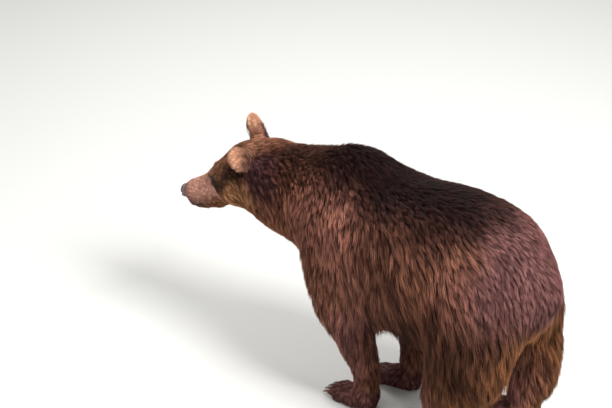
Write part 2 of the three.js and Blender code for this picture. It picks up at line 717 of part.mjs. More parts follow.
function meshOf(name, solid) {
  const made = solid.getMesh();
  const geometry = new THREE.BufferGeometry();
  const faces = mainBody(made.triVerts, made.vertProperties.length / 3);
  geometry.setAttribute("position", new THREE.BufferAttribute(new Float32Array(made.vertProperties), 3));
  geometry.setIndex(new THREE.BufferAttribute(new Uint32Array(faces), 1));
  geometry.computeVertexNormals();
  const material = new THREE.MeshStandardMaterial({ color: colourOf(name), roughness: 0.9, metalness: 0 });
  const mesh = new THREE.Mesh(geometry, material);
  mesh.name = name;
  return mesh;
}

const solids = { ...trunkAndNeck(), ...legsAndPaws(), ...headParts() };
const bear = new THREE.Group();
bear.name = "brown_bear";
for (const [name, solid] of Object.entries(solids)) bear.add(meshOf(name, solid));

// The middle of the whole bear's box stands over the origin.
const bounds = new THREE.Box3().setFromObject(bear);
const middle = bounds.getCenter(new THREE.Vector3());
for (const mesh of bear.children) mesh.geometry.translate(-middle.x, -middle.y, 0);

export default bear;
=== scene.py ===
"""A life-size brown bear, standing: one skin, its coat of fur, its face and claws, a floor and lights.

Everything is in metres. The bear faces -Y, its left side is +X, and z = 0 is the floor. The solids of
the frame reach out to the tips of the coat, so the skin lies inside them by the coat's depth.
"""

from __future__ import annotations

import json
import logging
import math
from abc import ABC, abstractmethod
from collections.abc import Callable
from dataclasses import dataclass
from enum import Enum

import bmesh
import bpy
import numpy as np
import openvdb
from mathutils import Matrix, Vector

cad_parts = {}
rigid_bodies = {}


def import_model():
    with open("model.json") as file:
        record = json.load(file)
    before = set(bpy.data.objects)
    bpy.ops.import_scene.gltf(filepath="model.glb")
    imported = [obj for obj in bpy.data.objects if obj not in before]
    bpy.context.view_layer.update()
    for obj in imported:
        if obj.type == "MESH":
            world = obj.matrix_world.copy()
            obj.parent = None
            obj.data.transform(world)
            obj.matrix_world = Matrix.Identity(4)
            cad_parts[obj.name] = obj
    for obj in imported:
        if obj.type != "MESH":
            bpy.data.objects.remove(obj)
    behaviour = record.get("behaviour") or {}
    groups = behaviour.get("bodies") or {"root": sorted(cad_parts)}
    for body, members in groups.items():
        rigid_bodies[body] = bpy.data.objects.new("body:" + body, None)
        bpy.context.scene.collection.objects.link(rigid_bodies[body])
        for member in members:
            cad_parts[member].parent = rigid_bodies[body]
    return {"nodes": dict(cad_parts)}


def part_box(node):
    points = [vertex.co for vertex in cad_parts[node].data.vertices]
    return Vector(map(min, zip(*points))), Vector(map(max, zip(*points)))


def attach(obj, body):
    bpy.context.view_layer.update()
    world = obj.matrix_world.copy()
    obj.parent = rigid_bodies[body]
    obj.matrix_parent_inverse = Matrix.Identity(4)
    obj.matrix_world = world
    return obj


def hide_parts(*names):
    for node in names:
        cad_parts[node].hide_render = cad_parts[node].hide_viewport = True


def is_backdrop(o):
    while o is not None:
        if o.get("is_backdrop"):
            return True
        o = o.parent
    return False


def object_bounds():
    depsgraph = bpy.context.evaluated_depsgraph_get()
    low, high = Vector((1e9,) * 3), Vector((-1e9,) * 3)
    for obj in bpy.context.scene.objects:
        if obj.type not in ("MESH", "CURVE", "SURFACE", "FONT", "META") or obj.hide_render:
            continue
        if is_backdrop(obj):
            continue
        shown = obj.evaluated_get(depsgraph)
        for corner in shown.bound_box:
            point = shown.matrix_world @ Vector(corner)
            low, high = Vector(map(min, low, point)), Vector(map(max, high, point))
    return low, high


LOG = logging.getLogger("bear")
BODY = "root"
SIDES = {"left": 1.0, "right": -1.0}
Points = np.ndarray
Numbers = np.ndarray
Spot = tuple[float, float, float]
Socket = bpy.types.NodeSocket
Values = dict[str | int, object]
Parts = bpy.types.bpy_prop_collection


# ---- Meshes and objects ----


def linked(name: str, data: bpy.types.ID) -> bpy.types.Object:
    """Makes an object and puts it in the scene.

    Args:
        name: Its name.
        data: Its mesh, its camera or its lamp.

    Returns:
        The new object.
    """
    thing = bpy.data.objects.new(name, data)
    bpy.context.scene.collection.objects.link(thing)
    return thing


def read_all(parts: Parts, name: str, width: int = 3, kind: type = np.float32) -> np.ndarray:
    """Reads a property of all of a mesh's points, faces or corners.

    Args:
        parts: The mesh's points, faces or corners.
        name: The property's name.
        width: How many values it has.
        kind: The kind of its values.

    Returns:
        The values, one part to a row.
    """
    values = np.empty(len(parts) * width, kind)
    parts.foreach_get(name, values)
    return values.reshape(-1, width).astype(float if kind is np.float32 else kind)


def write(mesh: bpy.types.Mesh, name: str, values: np.ndarray, domain: str = "POINT") -> None:
    """Writes a named attribute.

    Args:
        mesh: The mesh that gets it.
        name: The attribute's name.
        values: Whole numbers, numbers, vectors (three to a row) or colours (four to a row).
        domain: What part of the mesh each value belongs to.
    """
    width = 1 if values.ndim == 1 else values.shape[1]
    kind, field = {1: ("FLOAT", "value"), 3: ("FLOAT_VECTOR", "vector"), 4: ("FLOAT_COLOR", "color")}[width]
    whole = values.dtype == np.int32
    data = mesh.attributes.new(name, "INT" if whole else kind, domain).data
    data.foreach_set(field, values.reshape(-1).astype(np.int32 if whole else np.float32))


def apply_modifiers(piece: bpy.types.Object) -> None:
    """Puts the result of a piece's modifiers in its mesh, and removes them.

    Args:
        piece: The object.
    """
    shape = piece.evaluated_get(bpy.context.evaluated_depsgraph_get())
    mesh = bpy.data.meshes.new_from_object(shape)
    piece.modifiers.clear()
    old, piece.data = piece.data, mesh
    bpy.data.meshes.remove(old)
    mesh.name = piece.name


# ---- Smooth forms as fields of distances, negative inside ----


def meld(first: Numbers, second: Numbers, width: float) -> Numbers:
    """Joins two fields, rounded over a width where they meet."""
    near = np.maximum(width - np.abs(first - second), 0.0) / width
    return np.minimum(first, second) - near * near * width / 4.0


def carve(first: Numbers, second: Numbers, width: float) -> Numbers:
    """Takes the second field out of the first, with a rounded edge."""
    return -meld(-first, second, width)


def ramp(value: Numbers, low: float, high: float) -> Numbers:
    """Runs smoothly from 0 at low to 1 at high, where low may be the larger."""
    share = np.clip((value - low) / (high - low), 0.0, 1.0)
    return share * share * (3.0 - 2.0 * share)


def egg(points: Points, at: Spot, sizes: Spot) -> Numbers:
    """Returns about how far each point is from an egg-shaped form.

    Args:
        points: The places, one to a row.
        at: The middle of the egg.
        sizes: Its three half sizes.

    Returns:
        One distance for each point.
    """
    out = points - np.asarray(at)
    near = np.linalg.norm(out / sizes, axis=1)
    steep = np.linalg.norm(out / np.square(sizes), axis=1)
    return near * (near - 1.0) / np.maximum(steep, 1e-6)


def cord_round(points: Points, path: Points, radii: Numbers) -> Numbers:
    """Returns the distance of each point from a round, bent form along a path.

    Args:
        points: The places, one to a row.
        path: The form's middle line, one place to a row.
        radii: Its radius at each of those places.

    Returns:
        One distance for each point.
    """
    path = np.asarray(path)
    best = np.full(len(points), np.inf)
    for start, end, thick, thin in zip(path[:-1], path[1:], radii[:-1], radii[1:]):
        way = end - start
        share = np.clip((points - start) @ way / max(way @ way, 1e-12), 0.0, 1.0)
        gap = np.linalg.norm(points - start - share[:, None] * way, axis=1)
        best = np.minimum(best, gap - (thick + (thin - thick) * share))
    return best


def smooth_line(places: Points, count: int) -> Points:
    """Draws a smooth line through places.

    Args:
        places: The places that it passes through, one to a row.
        count: How many points it gets.

    Returns:
        The line's points, from the first place to the last.
    """
    places = np.asarray(places, float)
    at = np.linspace(0.0, len(places) - 1.0, count)
    first = np.clip(np.floor(at).astype(int), 0, len(places) - 2)
    u = (at - first)[:, None]
    a, b, c, d = (places[np.clip(first + k, 0, len(places) - 1)] for k in (-1, 0, 1, 2))
    return 0.5 * (2 * b + (c - a) * u + (2 * a - 5 * b + 4 * c - d) * u**2 + (3 * b - a - 3 * c + d) * u**3)


@dataclass
class Grid:
    """Distances on an even grid: its lowest corner, the step between its points, and its values."""

    low: Points
    step: float
    values: np.ndarray

    @staticmethod
    def around(points: Points, faces: np.ndarray, step: float, reach: float) -> Grid:
        """Measures the distances round a closed surface.

        Args:
            points: The surface's corners.
            faces: Its quads.
            step: The step between the grid's points.
            reach: How far from the surface the distances are kept.

        Returns:
            The grid, with a margin of reach on every side.
        """
        volume = openvdb.FloatGrid.createLevelSetFromPolygons(
            points.astype(np.float32),
            quads=faces.astype(np.uint32),
            transform=openvdb.createLinearTransform(voxelSize=step),
            halfWidth=reach / step,
        )
        first, last = volume.evalActiveVoxelBoundingBox()
        values = np.empty([last[k] - first[k] + 1 for k in range(3)], np.float32)
        volume.copyToArray(values, ijk=first)
        return Grid(np.array(first) * step, step, values)

    @staticmethod
    def filled(middle: Points, reach: float, step: float, form: Callable[[Points], Numbers]) -> Grid:
        """Measures a form on a grid round a middle.

        Args:
            middle: The middle of the grid.
            reach: Half its size, within which the form lies.
            step: The step between its points.
            form: Gives the distance of each point from the form.

        Returns:
            The grid, with a margin of two steps.
        """
        count = int(math.ceil(2 * reach / step)) + 5
        grid = Grid(np.asarray(middle) - reach - 2 * step, step, np.zeros((count,) * 3, np.float32))
        grid.values[:] = form(grid.corners()).reshape(grid.values.shape)
        return grid

    def blurred(self, spread: float) -> Grid:
        """Blurs the values.

        Args:
            spread: The distance that they are blurred over.

        Returns:
            A new grid of the same places.
        """
        reach = int(math.ceil(2.5 * spread / self.step))
        weights = np.exp(-0.5 * (np.arange(-reach, reach + 1) * self.step / spread) ** 2)
        weights = (weights / weights.sum()).astype(np.float32)
        values = self.values
        for axis in range(3):
            margins = [(reach, reach) if k == axis else (0, 0) for k in range(3)]
            wide = np.moveaxis(np.pad(values, margins, "edge"), axis, 0)
            count = values.shape[axis]
            total = sum(w * wide[k : k + count] for k, w in enumerate(weights))
            values = np.moveaxis(total, 0, axis)
        return Grid(self.low, self.step, np.ascontiguousarray(values))

    def at(self, points: Points) -> Numbers:
        """Reads the distance at any places, between the grid's points.

        Args:
            points: The places, one to a row.

        Returns:
            One distance for each place.
        """
        top = np.array(self.values.shape) - 1.001
        place = np.clip((points - self.low) / self.step, 0.0, top)
        cell = place.astype(int)
        u = place - cell
        total = np.zeros(len(points))
        for corner in range(8):
            bits = np.array([corner & 1, (corner >> 1) & 1, corner >> 2])
            share = np.prod(np.where(bits, u, 1.0 - u), axis=1)
            i, j, k = (cell + bits).T
            total += share * self.values[i, j, k]
        return total

    def corners(self) -> Points:
        """Returns the places of all the grid's points, in the order of its values."""
        axes = [self.low[k] + self.step * np.arange(self.values.shape[k]) for k in range(3)]
        return np.stack(np.meshgrid(*axes, indexing="ij"), axis=-1).reshape(-1, 3)


def drawn(name: str, grid: Grid) -> bpy.types.Object:
    """Draws the surface where a grid is zero.

    Args:
        name: The new object's name.
        grid: The distances.

    Returns:
        An object of even quads that face out.
    """
    volume = openvdb.FloatGrid(float(grid.values.max()))
    volume.copyFromArray(np.ascontiguousarray(grid.values, np.float32))
    volume.transform = openvdb.createLinearTransform(voxelSize=grid.step)
    points, _, quads = volume.convertToPolygons(isovalue=0.0, adaptivity=0.0)
    mesh = bpy.data.meshes.new(name)
    mesh.from_pydata((points + grid.low).tolist(), [], quads.tolist())
    return linked(name, mesh)


# ---- The head's own directions ----


@dataclass(frozen=True)
class HeadFrame:
    """Places on the head: forward along the skull from its back, to the bear's left, and up."""

    base: Points
    axes: np.ndarray

    EYE_FORWARD = 0.218
    EYE_UP = 0.063
    NOSE_FORWARD = 0.385
    NOSE_UP = -0.021

    @classmethod
    def from_nodes(cls) -> HeadFrame:
        """Finds the head's directions from where the eyes and the nose are in the frame.

        Returns:
            The head's directions.
        """
        boxes = [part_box(name) for name in ("eye_left", "eye_right", "nose")]
        left, right, nose = (np.mean([box[0], box[1]], axis=0) for box in boxes)
        middle = (left + right) / 2
        across = (left - right) / np.linalg.norm(left - right)
        ahead = nose - middle
        ahead -= across * (ahead @ across)
        ahead /= np.linalg.norm(ahead)
        over = np.cross(ahead, across)
        dip = math.atan2(cls.EYE_UP - cls.NOSE_UP, cls.NOSE_FORWARD - cls.EYE_FORWARD)
        forward = math.cos(dip) * ahead + math.sin(dip) * over
        up = math.cos(dip) * over - math.sin(dip) * ahead
        return cls(middle - cls.EYE_FORWARD * forward - cls.EYE_UP * up, np.array([forward, across, up]))

    def place(self, *spot: float) -> Points:
        """Returns the place at a spot of forward, left and up."""
        return self.base + np.array(spot) @ self.axes

    def way(self, *direction: float) -> Points:
        """Returns a direction given as forward, left and up."""
        return np.array(direction) @ self.axes

    def read(self, points: Points) -> Points:
        """Returns forward, left and up of each point."""
        return (points - self.base) @ self.axes.T


# ---- What the coat is like from place to place ----


class Shade(Enum):
    """The coat's colours, each for the foot and the tip of a hair. The dark feet are partly the hairs' own colour
    and partly painted shade deep in the coat.
    """

    SPINE = ((0.004, 0.001, 0.001), (0.020, 0.006, 0.005))
    BACK = ((0.008, 0.003, 0.002), (0.070, 0.028, 0.023))
    SHOULDER = ((0.034, 0.012, 0.009), (0.640, 0.262, 0.185))
    FLANK = ((0.018, 0.006, 0.005), (0.440, 0.180, 0.110))
    # The rump's brown, with a painted pale purple sheen.
    RUMP = ((0.052, 0.020, 0.019), (0.265, 0.118, 0.110))
    THIGH = ((0.006, 0.002, 0.001), (0.155, 0.060, 0.034))
    # The belly's dark brown, darkened almost to black as painted shade under the body.
    BELLY = ((0.002, 0.001, 0.001), (0.058, 0.019, 0.009))
    FRINGE = ((0.016, 0.005, 0.002), (0.460, 0.185, 0.075))
    NECK = ((0.026, 0.009, 0.005), (0.350, 0.135, 0.078))
    LEG = ((0.032, 0.011, 0.010), (0.410, 0.170, 0.150))
    PAW = ((0.046, 0.017, 0.016), (0.290, 0.120, 0.105))
    CROWN = ((0.105, 0.039, 0.021), (0.500, 0.232, 0.140))
    CHEEK = ((0.100, 0.038, 0.016), (0.950, 0.460, 0.230))
    # The ears' own tan, made paler as painted sunlight on them.
    EAR = ((0.330, 0.145, 0.085), (0.950, 0.560, 0.370))
    EAR_PATCH = ((0.022, 0.009, 0.010), (0.140, 0.057, 0.063))
    SHADOW = ((0.005, 0.002, 0.001), (0.036, 0.015, 0.008))
    MASK = ((0.020, 0.007, 0.006), (0.060, 0.024, 0.020))
    MUZZLE = ((0.430, 0.205, 0.150), (0.850, 0.490, 0.375))
    SNOUT = ((0.130, 0.056, 0.056), (0.270, 0.130, 0.128))
    CHIN = ((0.090, 0.033, 0.016), (0.420, 0.185, 0.095))
    BROW = ((0.130, 0.048, 0.026), (0.560, 0.270, 0.160))


# How much the tips hang free of the skin, from 0 to 1.
LOOSE = {Shade.FRINGE: 0.8, Shade.BELLY: 0.8, Shade.THIGH: 0.5, Shade.FLANK: 0.25}
HELD = 0.1

# The tables' columns: the place (mm); how far it reaches, and the coat's depth (mm); the length and the
# width of its tufts (mm); the way they lie; their colour; and how high they stand, as a share of the depth.

# On the trunk, as seen on the left side: the right side mirrors it.
# The SPINE row at 250 310 530 paints shade in the hollow behind the elbow, and the last five rows paint shade
# along the crease behind the shoulder, in the spine's dark colour.
TRUNK = """
  0  -40 1070 80 24  42 3.4  0.1    1 -0.25 SPINE      1
 80   80 1030 70 26  42 3.4 0.15  0.9  -0.3 SPINE    0.6
 60  260 1020 70 24  44 3.4 0.15    1  -0.2 SPINE    0.8
 60  440 1010 70 20  40 3.2 0.15    1  -0.2 SPINE      1
160  180  980 70 22  50 3.4  0.2  0.8  -0.7 SPINE      1
170  380  970 70 20  50 3.4  0.2  0.8  -0.7 SPINE      1
130  -80 1010 60 24  44 3.2 0.15  0.8  -0.7 BACK       1
 90  -30 1050 40 24  44 3.2 0.15  0.8  -0.6 SPINE      1
120  120 1000 50 24  46 3.4  0.2  0.8  -0.6 SPINE      1
180  270  960 50 22  50 3.4  0.2  0.7  -0.8 SPINE      1
200  420  940 40 20  50 3.4  0.2  0.8  -0.7 SPINE      1
270  110  730 60 26  66 3.6 0.05 0.25    -1 SHOULDER   1
270  590  780 50 22  70 3.6 0.05 0.65  -0.9 SHOULDER   1
250  310  530 40 30 100 4.4    0  0.2    -1 SPINE      1
190  -30  940 50 24  46 3.4 0.12  0.5  -0.9 SHOULDER   1
  0 -280 1010 80 26  36   3  0.1    1  -0.2 BACK       1
 70 -330  980 40 26  36   3  0.1    1  -0.4 SPINE      1
120 -300  940 80 28  36   3  0.1  0.8  -0.7 NECK       1
180 -200  860 80 28  40   3  0.1  0.6  -0.9 SHOULDER   1
180 -340  720 90 28  42 3.2 0.05 0.55    -1 NECK       1
  0 -360  600 90 30  60 3.6    0  0.6    -1 NECK       1
  0 -220  450 90 32  75   4    0  0.3    -1 FLANK      1
260   60  840 70 26  58 3.4 0.05 0.25    -1 SHOULDER   1
240  -80  560 80 26  66 3.8    0 0.15    -1 FLANK      1
230  240  880 70 24  70 3.6 0.12 0.45    -1 FLANK      1
280  220  760 90 26  90   4 0.05 0.22    -1 FLANK      1
290  200  580 70 28 110 4.4    0 0.12    -1 FLANK      1
160  220  400 80 34 115 4.6 -0.2 0.35    -1 BELLY    1.2
  0  200  360 80 34  85 4.4    0    1  -0.4 BELLY    1.2
240  420  880 70 24  70 3.6  0.1 0.75 -0.75 FLANK      1
280  420  720 80 26  85 3.8 0.05 0.65  -0.9 FLANK      1
270  300  540 70 30 110 4.4    0  0.2    -1 BELLY      1
280  430  630 70 28 100 4.2    0 0.45    -1 BELLY      1
280  560  700 60 24  80 3.8 0.05  0.6  -0.9 FLANK      1
  0  590 1000 50 18  38   3  0.1    1  -0.2 BACK       1
130  540  980 40 20  44 3.2 0.25  0.9  -0.6 BACK       1
210  580  910 50 22  55 3.4 0.25  0.9  -0.7 FLANK      1
250  680  780 70 18  42   3  0.1  0.6  -0.9 RUMP       1
290  620  600 80 24  80 3.4    0 0.35    -1 THIGH      1
100  680  950 50 17  36   3  0.2    1  -0.6 RUMP       1
 60  750  910 70 16  34   3  0.2    1  -0.7 RUMP       1
170  780  790 80 18  42 3.2  0.1  0.5    -1 RUMP       1
250  740  580 70 24  75 3.8    0  0.3    -1 THIGH      1
180  820  500 80 26  85   4    0 0.15    -1 FRINGE   1.2
  0  870  740 60 22  55 3.6    0  0.2    -1 RUMP       1
 20  800  460 80 26  70   4    0  0.1    -1 FRINGE     1
285  186  800 20 26  60 3.6    0  0.2    -1 SPINE    0.7
292  215  740 20 26  60 3.6    0  0.2    -1 SPINE    0.7
287  232  690 20 26  60 3.6    0  0.2    -1 SPINE    0.7
278  244  630 20 26  60 3.6    0  0.2    -1 SPINE    0.7
255  250  560 22 26  60 3.6    0  0.2    -1 SPINE    0.7
"""

# On a leg: outward from, behind and above the middle of its sole.
FORELEG = """
 60  20 420 70 24 60 3.8 0 0.15   -1 LEG    1
  0 100 380 60 28 75 4.2 0 0.35   -1 FRINGE 1
-60  30 360 60 20 50 3.8 0  0.2   -1 LEG    1
 30  20 240 60 16 45 3.4 0  0.1   -1 LEG    1
  0 110 200 50 20 55 3.8 0  0.3   -1 FRINGE 1
  0  30 120 40  9 30   3 0 -0.2   -1 LEG    1
  0 -30  70 40  6 20 2.6 0   -1 -0.4 PAW    1
  0 -90  30 30  4 14 2.2 0   -1 -0.4 PAW    1
  0  60  30 40  6 18 2.6 0  0.2   -1 PAW    1
"""
HINDLEG = """
 80  100 440 80 26 80   4 0  0.25   -1 THIGH  1
 20    0 340 70 26 85   4 0 -0.15   -1 THIGH  1
  0  180 320 70 28 75 4.2 0   0.3   -1 FRINGE 1
-70  100 340 70 20 55   4 0   0.1   -1 LEG    1
 20   60 220 60 18 50 3.6 0  0.05   -1 LEG    1
  0  170 160 50 18 50 3.8 0  0.25   -1 FRINGE 1
  0   40 120 40 10 30   3 0  -0.5   -1 LEG    1
  0  -40  70 40  6 20 2.6 0    -1 -0.4 PAW    1
  0 -110  30 30  4 14 2.2 0    -1 -0.4 PAW    1
  0  100  30 40  7 20 2.6 0   0.2   -1 PAW    1
"""

# On the head: forward, left and up, mirrored to its right.
# The two CHEEK rows at 42 mm forward paint a rim of light along the edge of the cheek.
HEAD = """
380  20    4 16 1.5  6 1.6   -1 0.1  0.1 SNOUT       1
330   0   30 25   2  8 1.8   -1   0  0.1 MUZZLE      1
330  45  -20 25 2.5  9 1.8   -1 0.1 -0.2 MUZZLE      1
360  32  -50 18 2.5  9 1.8   -1 0.1 -0.4 SNOUT       1
325  40  -65 16   3 10 1.8   -1 0.1 -0.5 MASK        1
330   0 -100 25   4 14   2   -1   0 -0.1 CHIN        1
270   0   55 25 2.5 10 1.8   -1   0  0.3 MUZZLE      1
260  60    0 25   4 14 2.2   -1 0.2 -0.2 MUZZLE      1
250  50  -60 25   6 18 2.4   -1 0.1 -0.4 CHIN        1
226  52   77 12   3  9 1.8 -0.8 0.3  0.5 BROW        1
226  64   53 10 2.5  9 1.7 -0.8 0.4 -0.2 MASK        1
208  77   56 11 3.5 10 1.8 -0.9 0.3 -0.2 MASK        1
195  92   42 11   6 14   2 -0.9 0.3 -0.4 MASK        1
215   0   95 25   4 14 2.2 -0.9   0  0.6 BROW        1
185  78   92 20   6 18 2.2   -1 0.2  0.1 BROW        1
172 108   70 18   8 22 2.4   -1 0.2 -0.2 MASK        1
150   0  140 35   8 24 2.6   -1   0  0.4 CROWN       1
140  50  135 25   9 26 2.6   -1 0.1  0.2 CROWN       1
146  92  108 17  10 26 2.6   -1 0.1    0 SHADOW      1
118 108  116 20  11 28 2.8   -1 0.1    0 SHADOW      1
 86 128  114 20  12 30 2.8   -1 0.1 -0.2 SHADOW      1
 60   0  190 45  12 34   3   -1   0  0.1 CROWN       1
105 140   66 20  16 40 2.8 -0.9 0.2 -0.5 CHEEK       1
130 130   20 30  16 45   3 -0.9 0.2 -0.5 CHEEK       1
160 100  -50 30  14 42   3 -0.9 0.1 -0.7 CHIN        1
190   0 -100 40  12 35   3   -1   0 -0.3 CHIN        1
 42 166   88 15  20 40 2.8 -0.6 0.3 -0.9 CHEEK       1
 42 176   50 16  22 44   3 -0.6 0.3 -0.9 CHEEK       1
 70 150  -10 32  24 48 3.2 -0.8 0.2 -0.7 CHIN      0.6
  0 130  160 24  20 36 2.8 -0.9 0.1 -0.4 EAR_PATCH   1
  0 165  110 24  22 38   3 -0.9 0.1 -0.6 EAR_PATCH   1
-35 190   90 30  24 42   3 -0.8 0.1 -0.8 EAR_PATCH   1
-55 170  140 30  22 40   3 -0.9 0.2 -0.4 EAR_PATCH   1
-85 205  105 28  24 40   3 -0.9 0.2 -0.5 EAR_PATCH   1
 20  50  190 26  15 36   3   -1 0.1    0 CROWN     1.3
-30 115  180 26  22 36   3 -0.9 0.2 -0.3 EAR_PATCH   1
-75 145  175 28  22 38   3 -0.9 0.2 -0.4 EAR_PATCH   1
-40   0  190 45  20 45 3.4   -1   0    0 NECK        1
-85  80  205 22  22 40   3   -1 0.1 -0.2 SPINE       1
  5 205   50 20  24 44   3 -0.6 0.3 -0.9 CHEEK       1
-45 230   50 30  26 46   3 -0.7 0.2 -0.9 SHOULDER    1
 80  50  -80 45  24 50 3.4 -0.9   0 -0.5 NECK      0.6
-40 100  -60 50  28 55 3.6 -0.8   0 -0.7 NECK      0.7
"""

# On an ear: across it, behind it and up along it, from its middle.
EAR = """
  0  12 -16 13  5 16   2    0  0.3   1 CHIN        1
  0  12  14 14  5 14   2    0  0.2   1 EAR         1
  0   6  45 16  5 13 1.8    0    0   1 EAR         1
 40   4  15 16  5 13 1.8  0.4    0 0.9 EAR         1
-40   4  15 16  5 13 1.8 -0.4    0 0.9 EAR         1
  0 -10   0 12  4 18   2    0 -0.3   1 CHEEK       1
  0  20 -50 20 10 28 2.6    0  0.8 0.6 EAR_PATCH 1.3
"""


@dataclass(frozen=True)
class CoatSpot:
    """How the coat is round one place: its depth, its tufts' length and width, their lie and colour."""

    at: Points
    spread: float
    depth: float
    long: float
    wide: float
    lie: Points
    shade: Shade
    stand: float

    @staticmethod
    def table(rows: str) -> list[CoatSpot]:
        """Reads the spots of a table.

        Args:
            rows: The table, one spot to a row.

        Returns:
            The spots in the table's order, in metres.
        """
        spots = []
        for row in rows.strip().splitlines():
            *numbers, shade, stand = row.split()
            sizes, lie = [float(n) / 1000.0 for n in numbers[:7]], [float(n) for n in numbers[7:]]
            spots.append(CoatSpot(np.array(sizes[:3]), *sizes[3:], np.array(lie), Shade[shade], float(stand)))
        return spots

    def measures(self) -> tuple[float, ...]:
        """Returns what is blended from spot to spot, apart from the lie."""
        foot, tip = self.shade.value
        return self.depth, self.long, self.wide, *foot, *tip, LOOSE.get(self.shade, HELD), self.stand * self.depth


class CoatMap:
    """The coat's measures everywhere, blended from the spots."""

    BATCH = 200_000

    def __init__(self, head: HeadFrame, ears: Ears) -> None:
        """Places every spot on the bear.

        Args:
            head: The head's directions.
            ears: How the ears are set.
        """
        rows: list[tuple[Points, Points, CoatSpot]] = []
        for side in SIDES.values():
            mirror, turn = np.array([side, 1.0, 1.0]), np.array([1.0, side, 1.0])
            rows += [(s.at * mirror, s.lie * mirror, s) for s in CoatSpot.table(TRUNK)]
            rows += [(head.place(*(s.at * turn)), head.way(*(s.lie * turn)), s) for s in CoatSpot.table(HEAD)]
            middle, axes = ears.frame(side)
            rows += [(middle + s.at @ axes, s.lie @ axes, s) for s in CoatSpot.table(EAR)]
        for kind, table in (("forepaw", FORELEG), ("hindpaw", HINDLEG)):
            for name, side in SIDES.items():
                low, high = (np.array(corner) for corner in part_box(f"{kind}_{name}"))
                sole = np.array([(low[0] + high[0]) / 2, (low[1] + high[1]) / 2, 0.0])
                mirror = np.array([side, 1.0, 1.0])
                rows += [(sole + s.at * mirror, s.lie * mirror, s) for s in CoatSpot.table(table)]
        self.at = np.array([at for at, _, _ in rows], np.float32)
        self.spread = np.array([spot.spread for _, _, spot in rows], np.float32)
        lies = np.array([lie / np.linalg.norm(lie) for _, lie, _ in rows])
        measures = np.array([spot.measures() for _, _, spot in rows])
        self.values = np.hstack([measures, lies]).astype(np.float32)

    def blend(self, points: Points, columns: slice) -> np.ndarray:
        """Blends the measures at places.

        Args:
            points: The places, one to a row.
            columns: Which of the measures are wanted.

        Returns:
            Those measures, one place to a row.
        """
        result = np.empty((len(points), self.values[:, columns].shape[1]), np.float32)
        for start in range(0, len(points), self.BATCH):
            part = points[start : start + self.BATCH].astype(np.float32)
            square = (part**2).sum(1)[:, None] + (self.at**2).sum(1) - 2 * part @ self.at.T
            pull = -0.5 * square / self.spread**2
            share = np.exp(pull - pull.max(1, keepdims=True))
            result[start : start + self.BATCH] = share @ self.values[:, columns] / share.sum(1, keepdims=True)
        return result

    def depth(self, points: Points) -> Numbers:
        """Returns the coat's depth at each point."""
        return self.blend(points, slice(0, 1))[:, 0]


# ---- The face, the ears and the toes ----


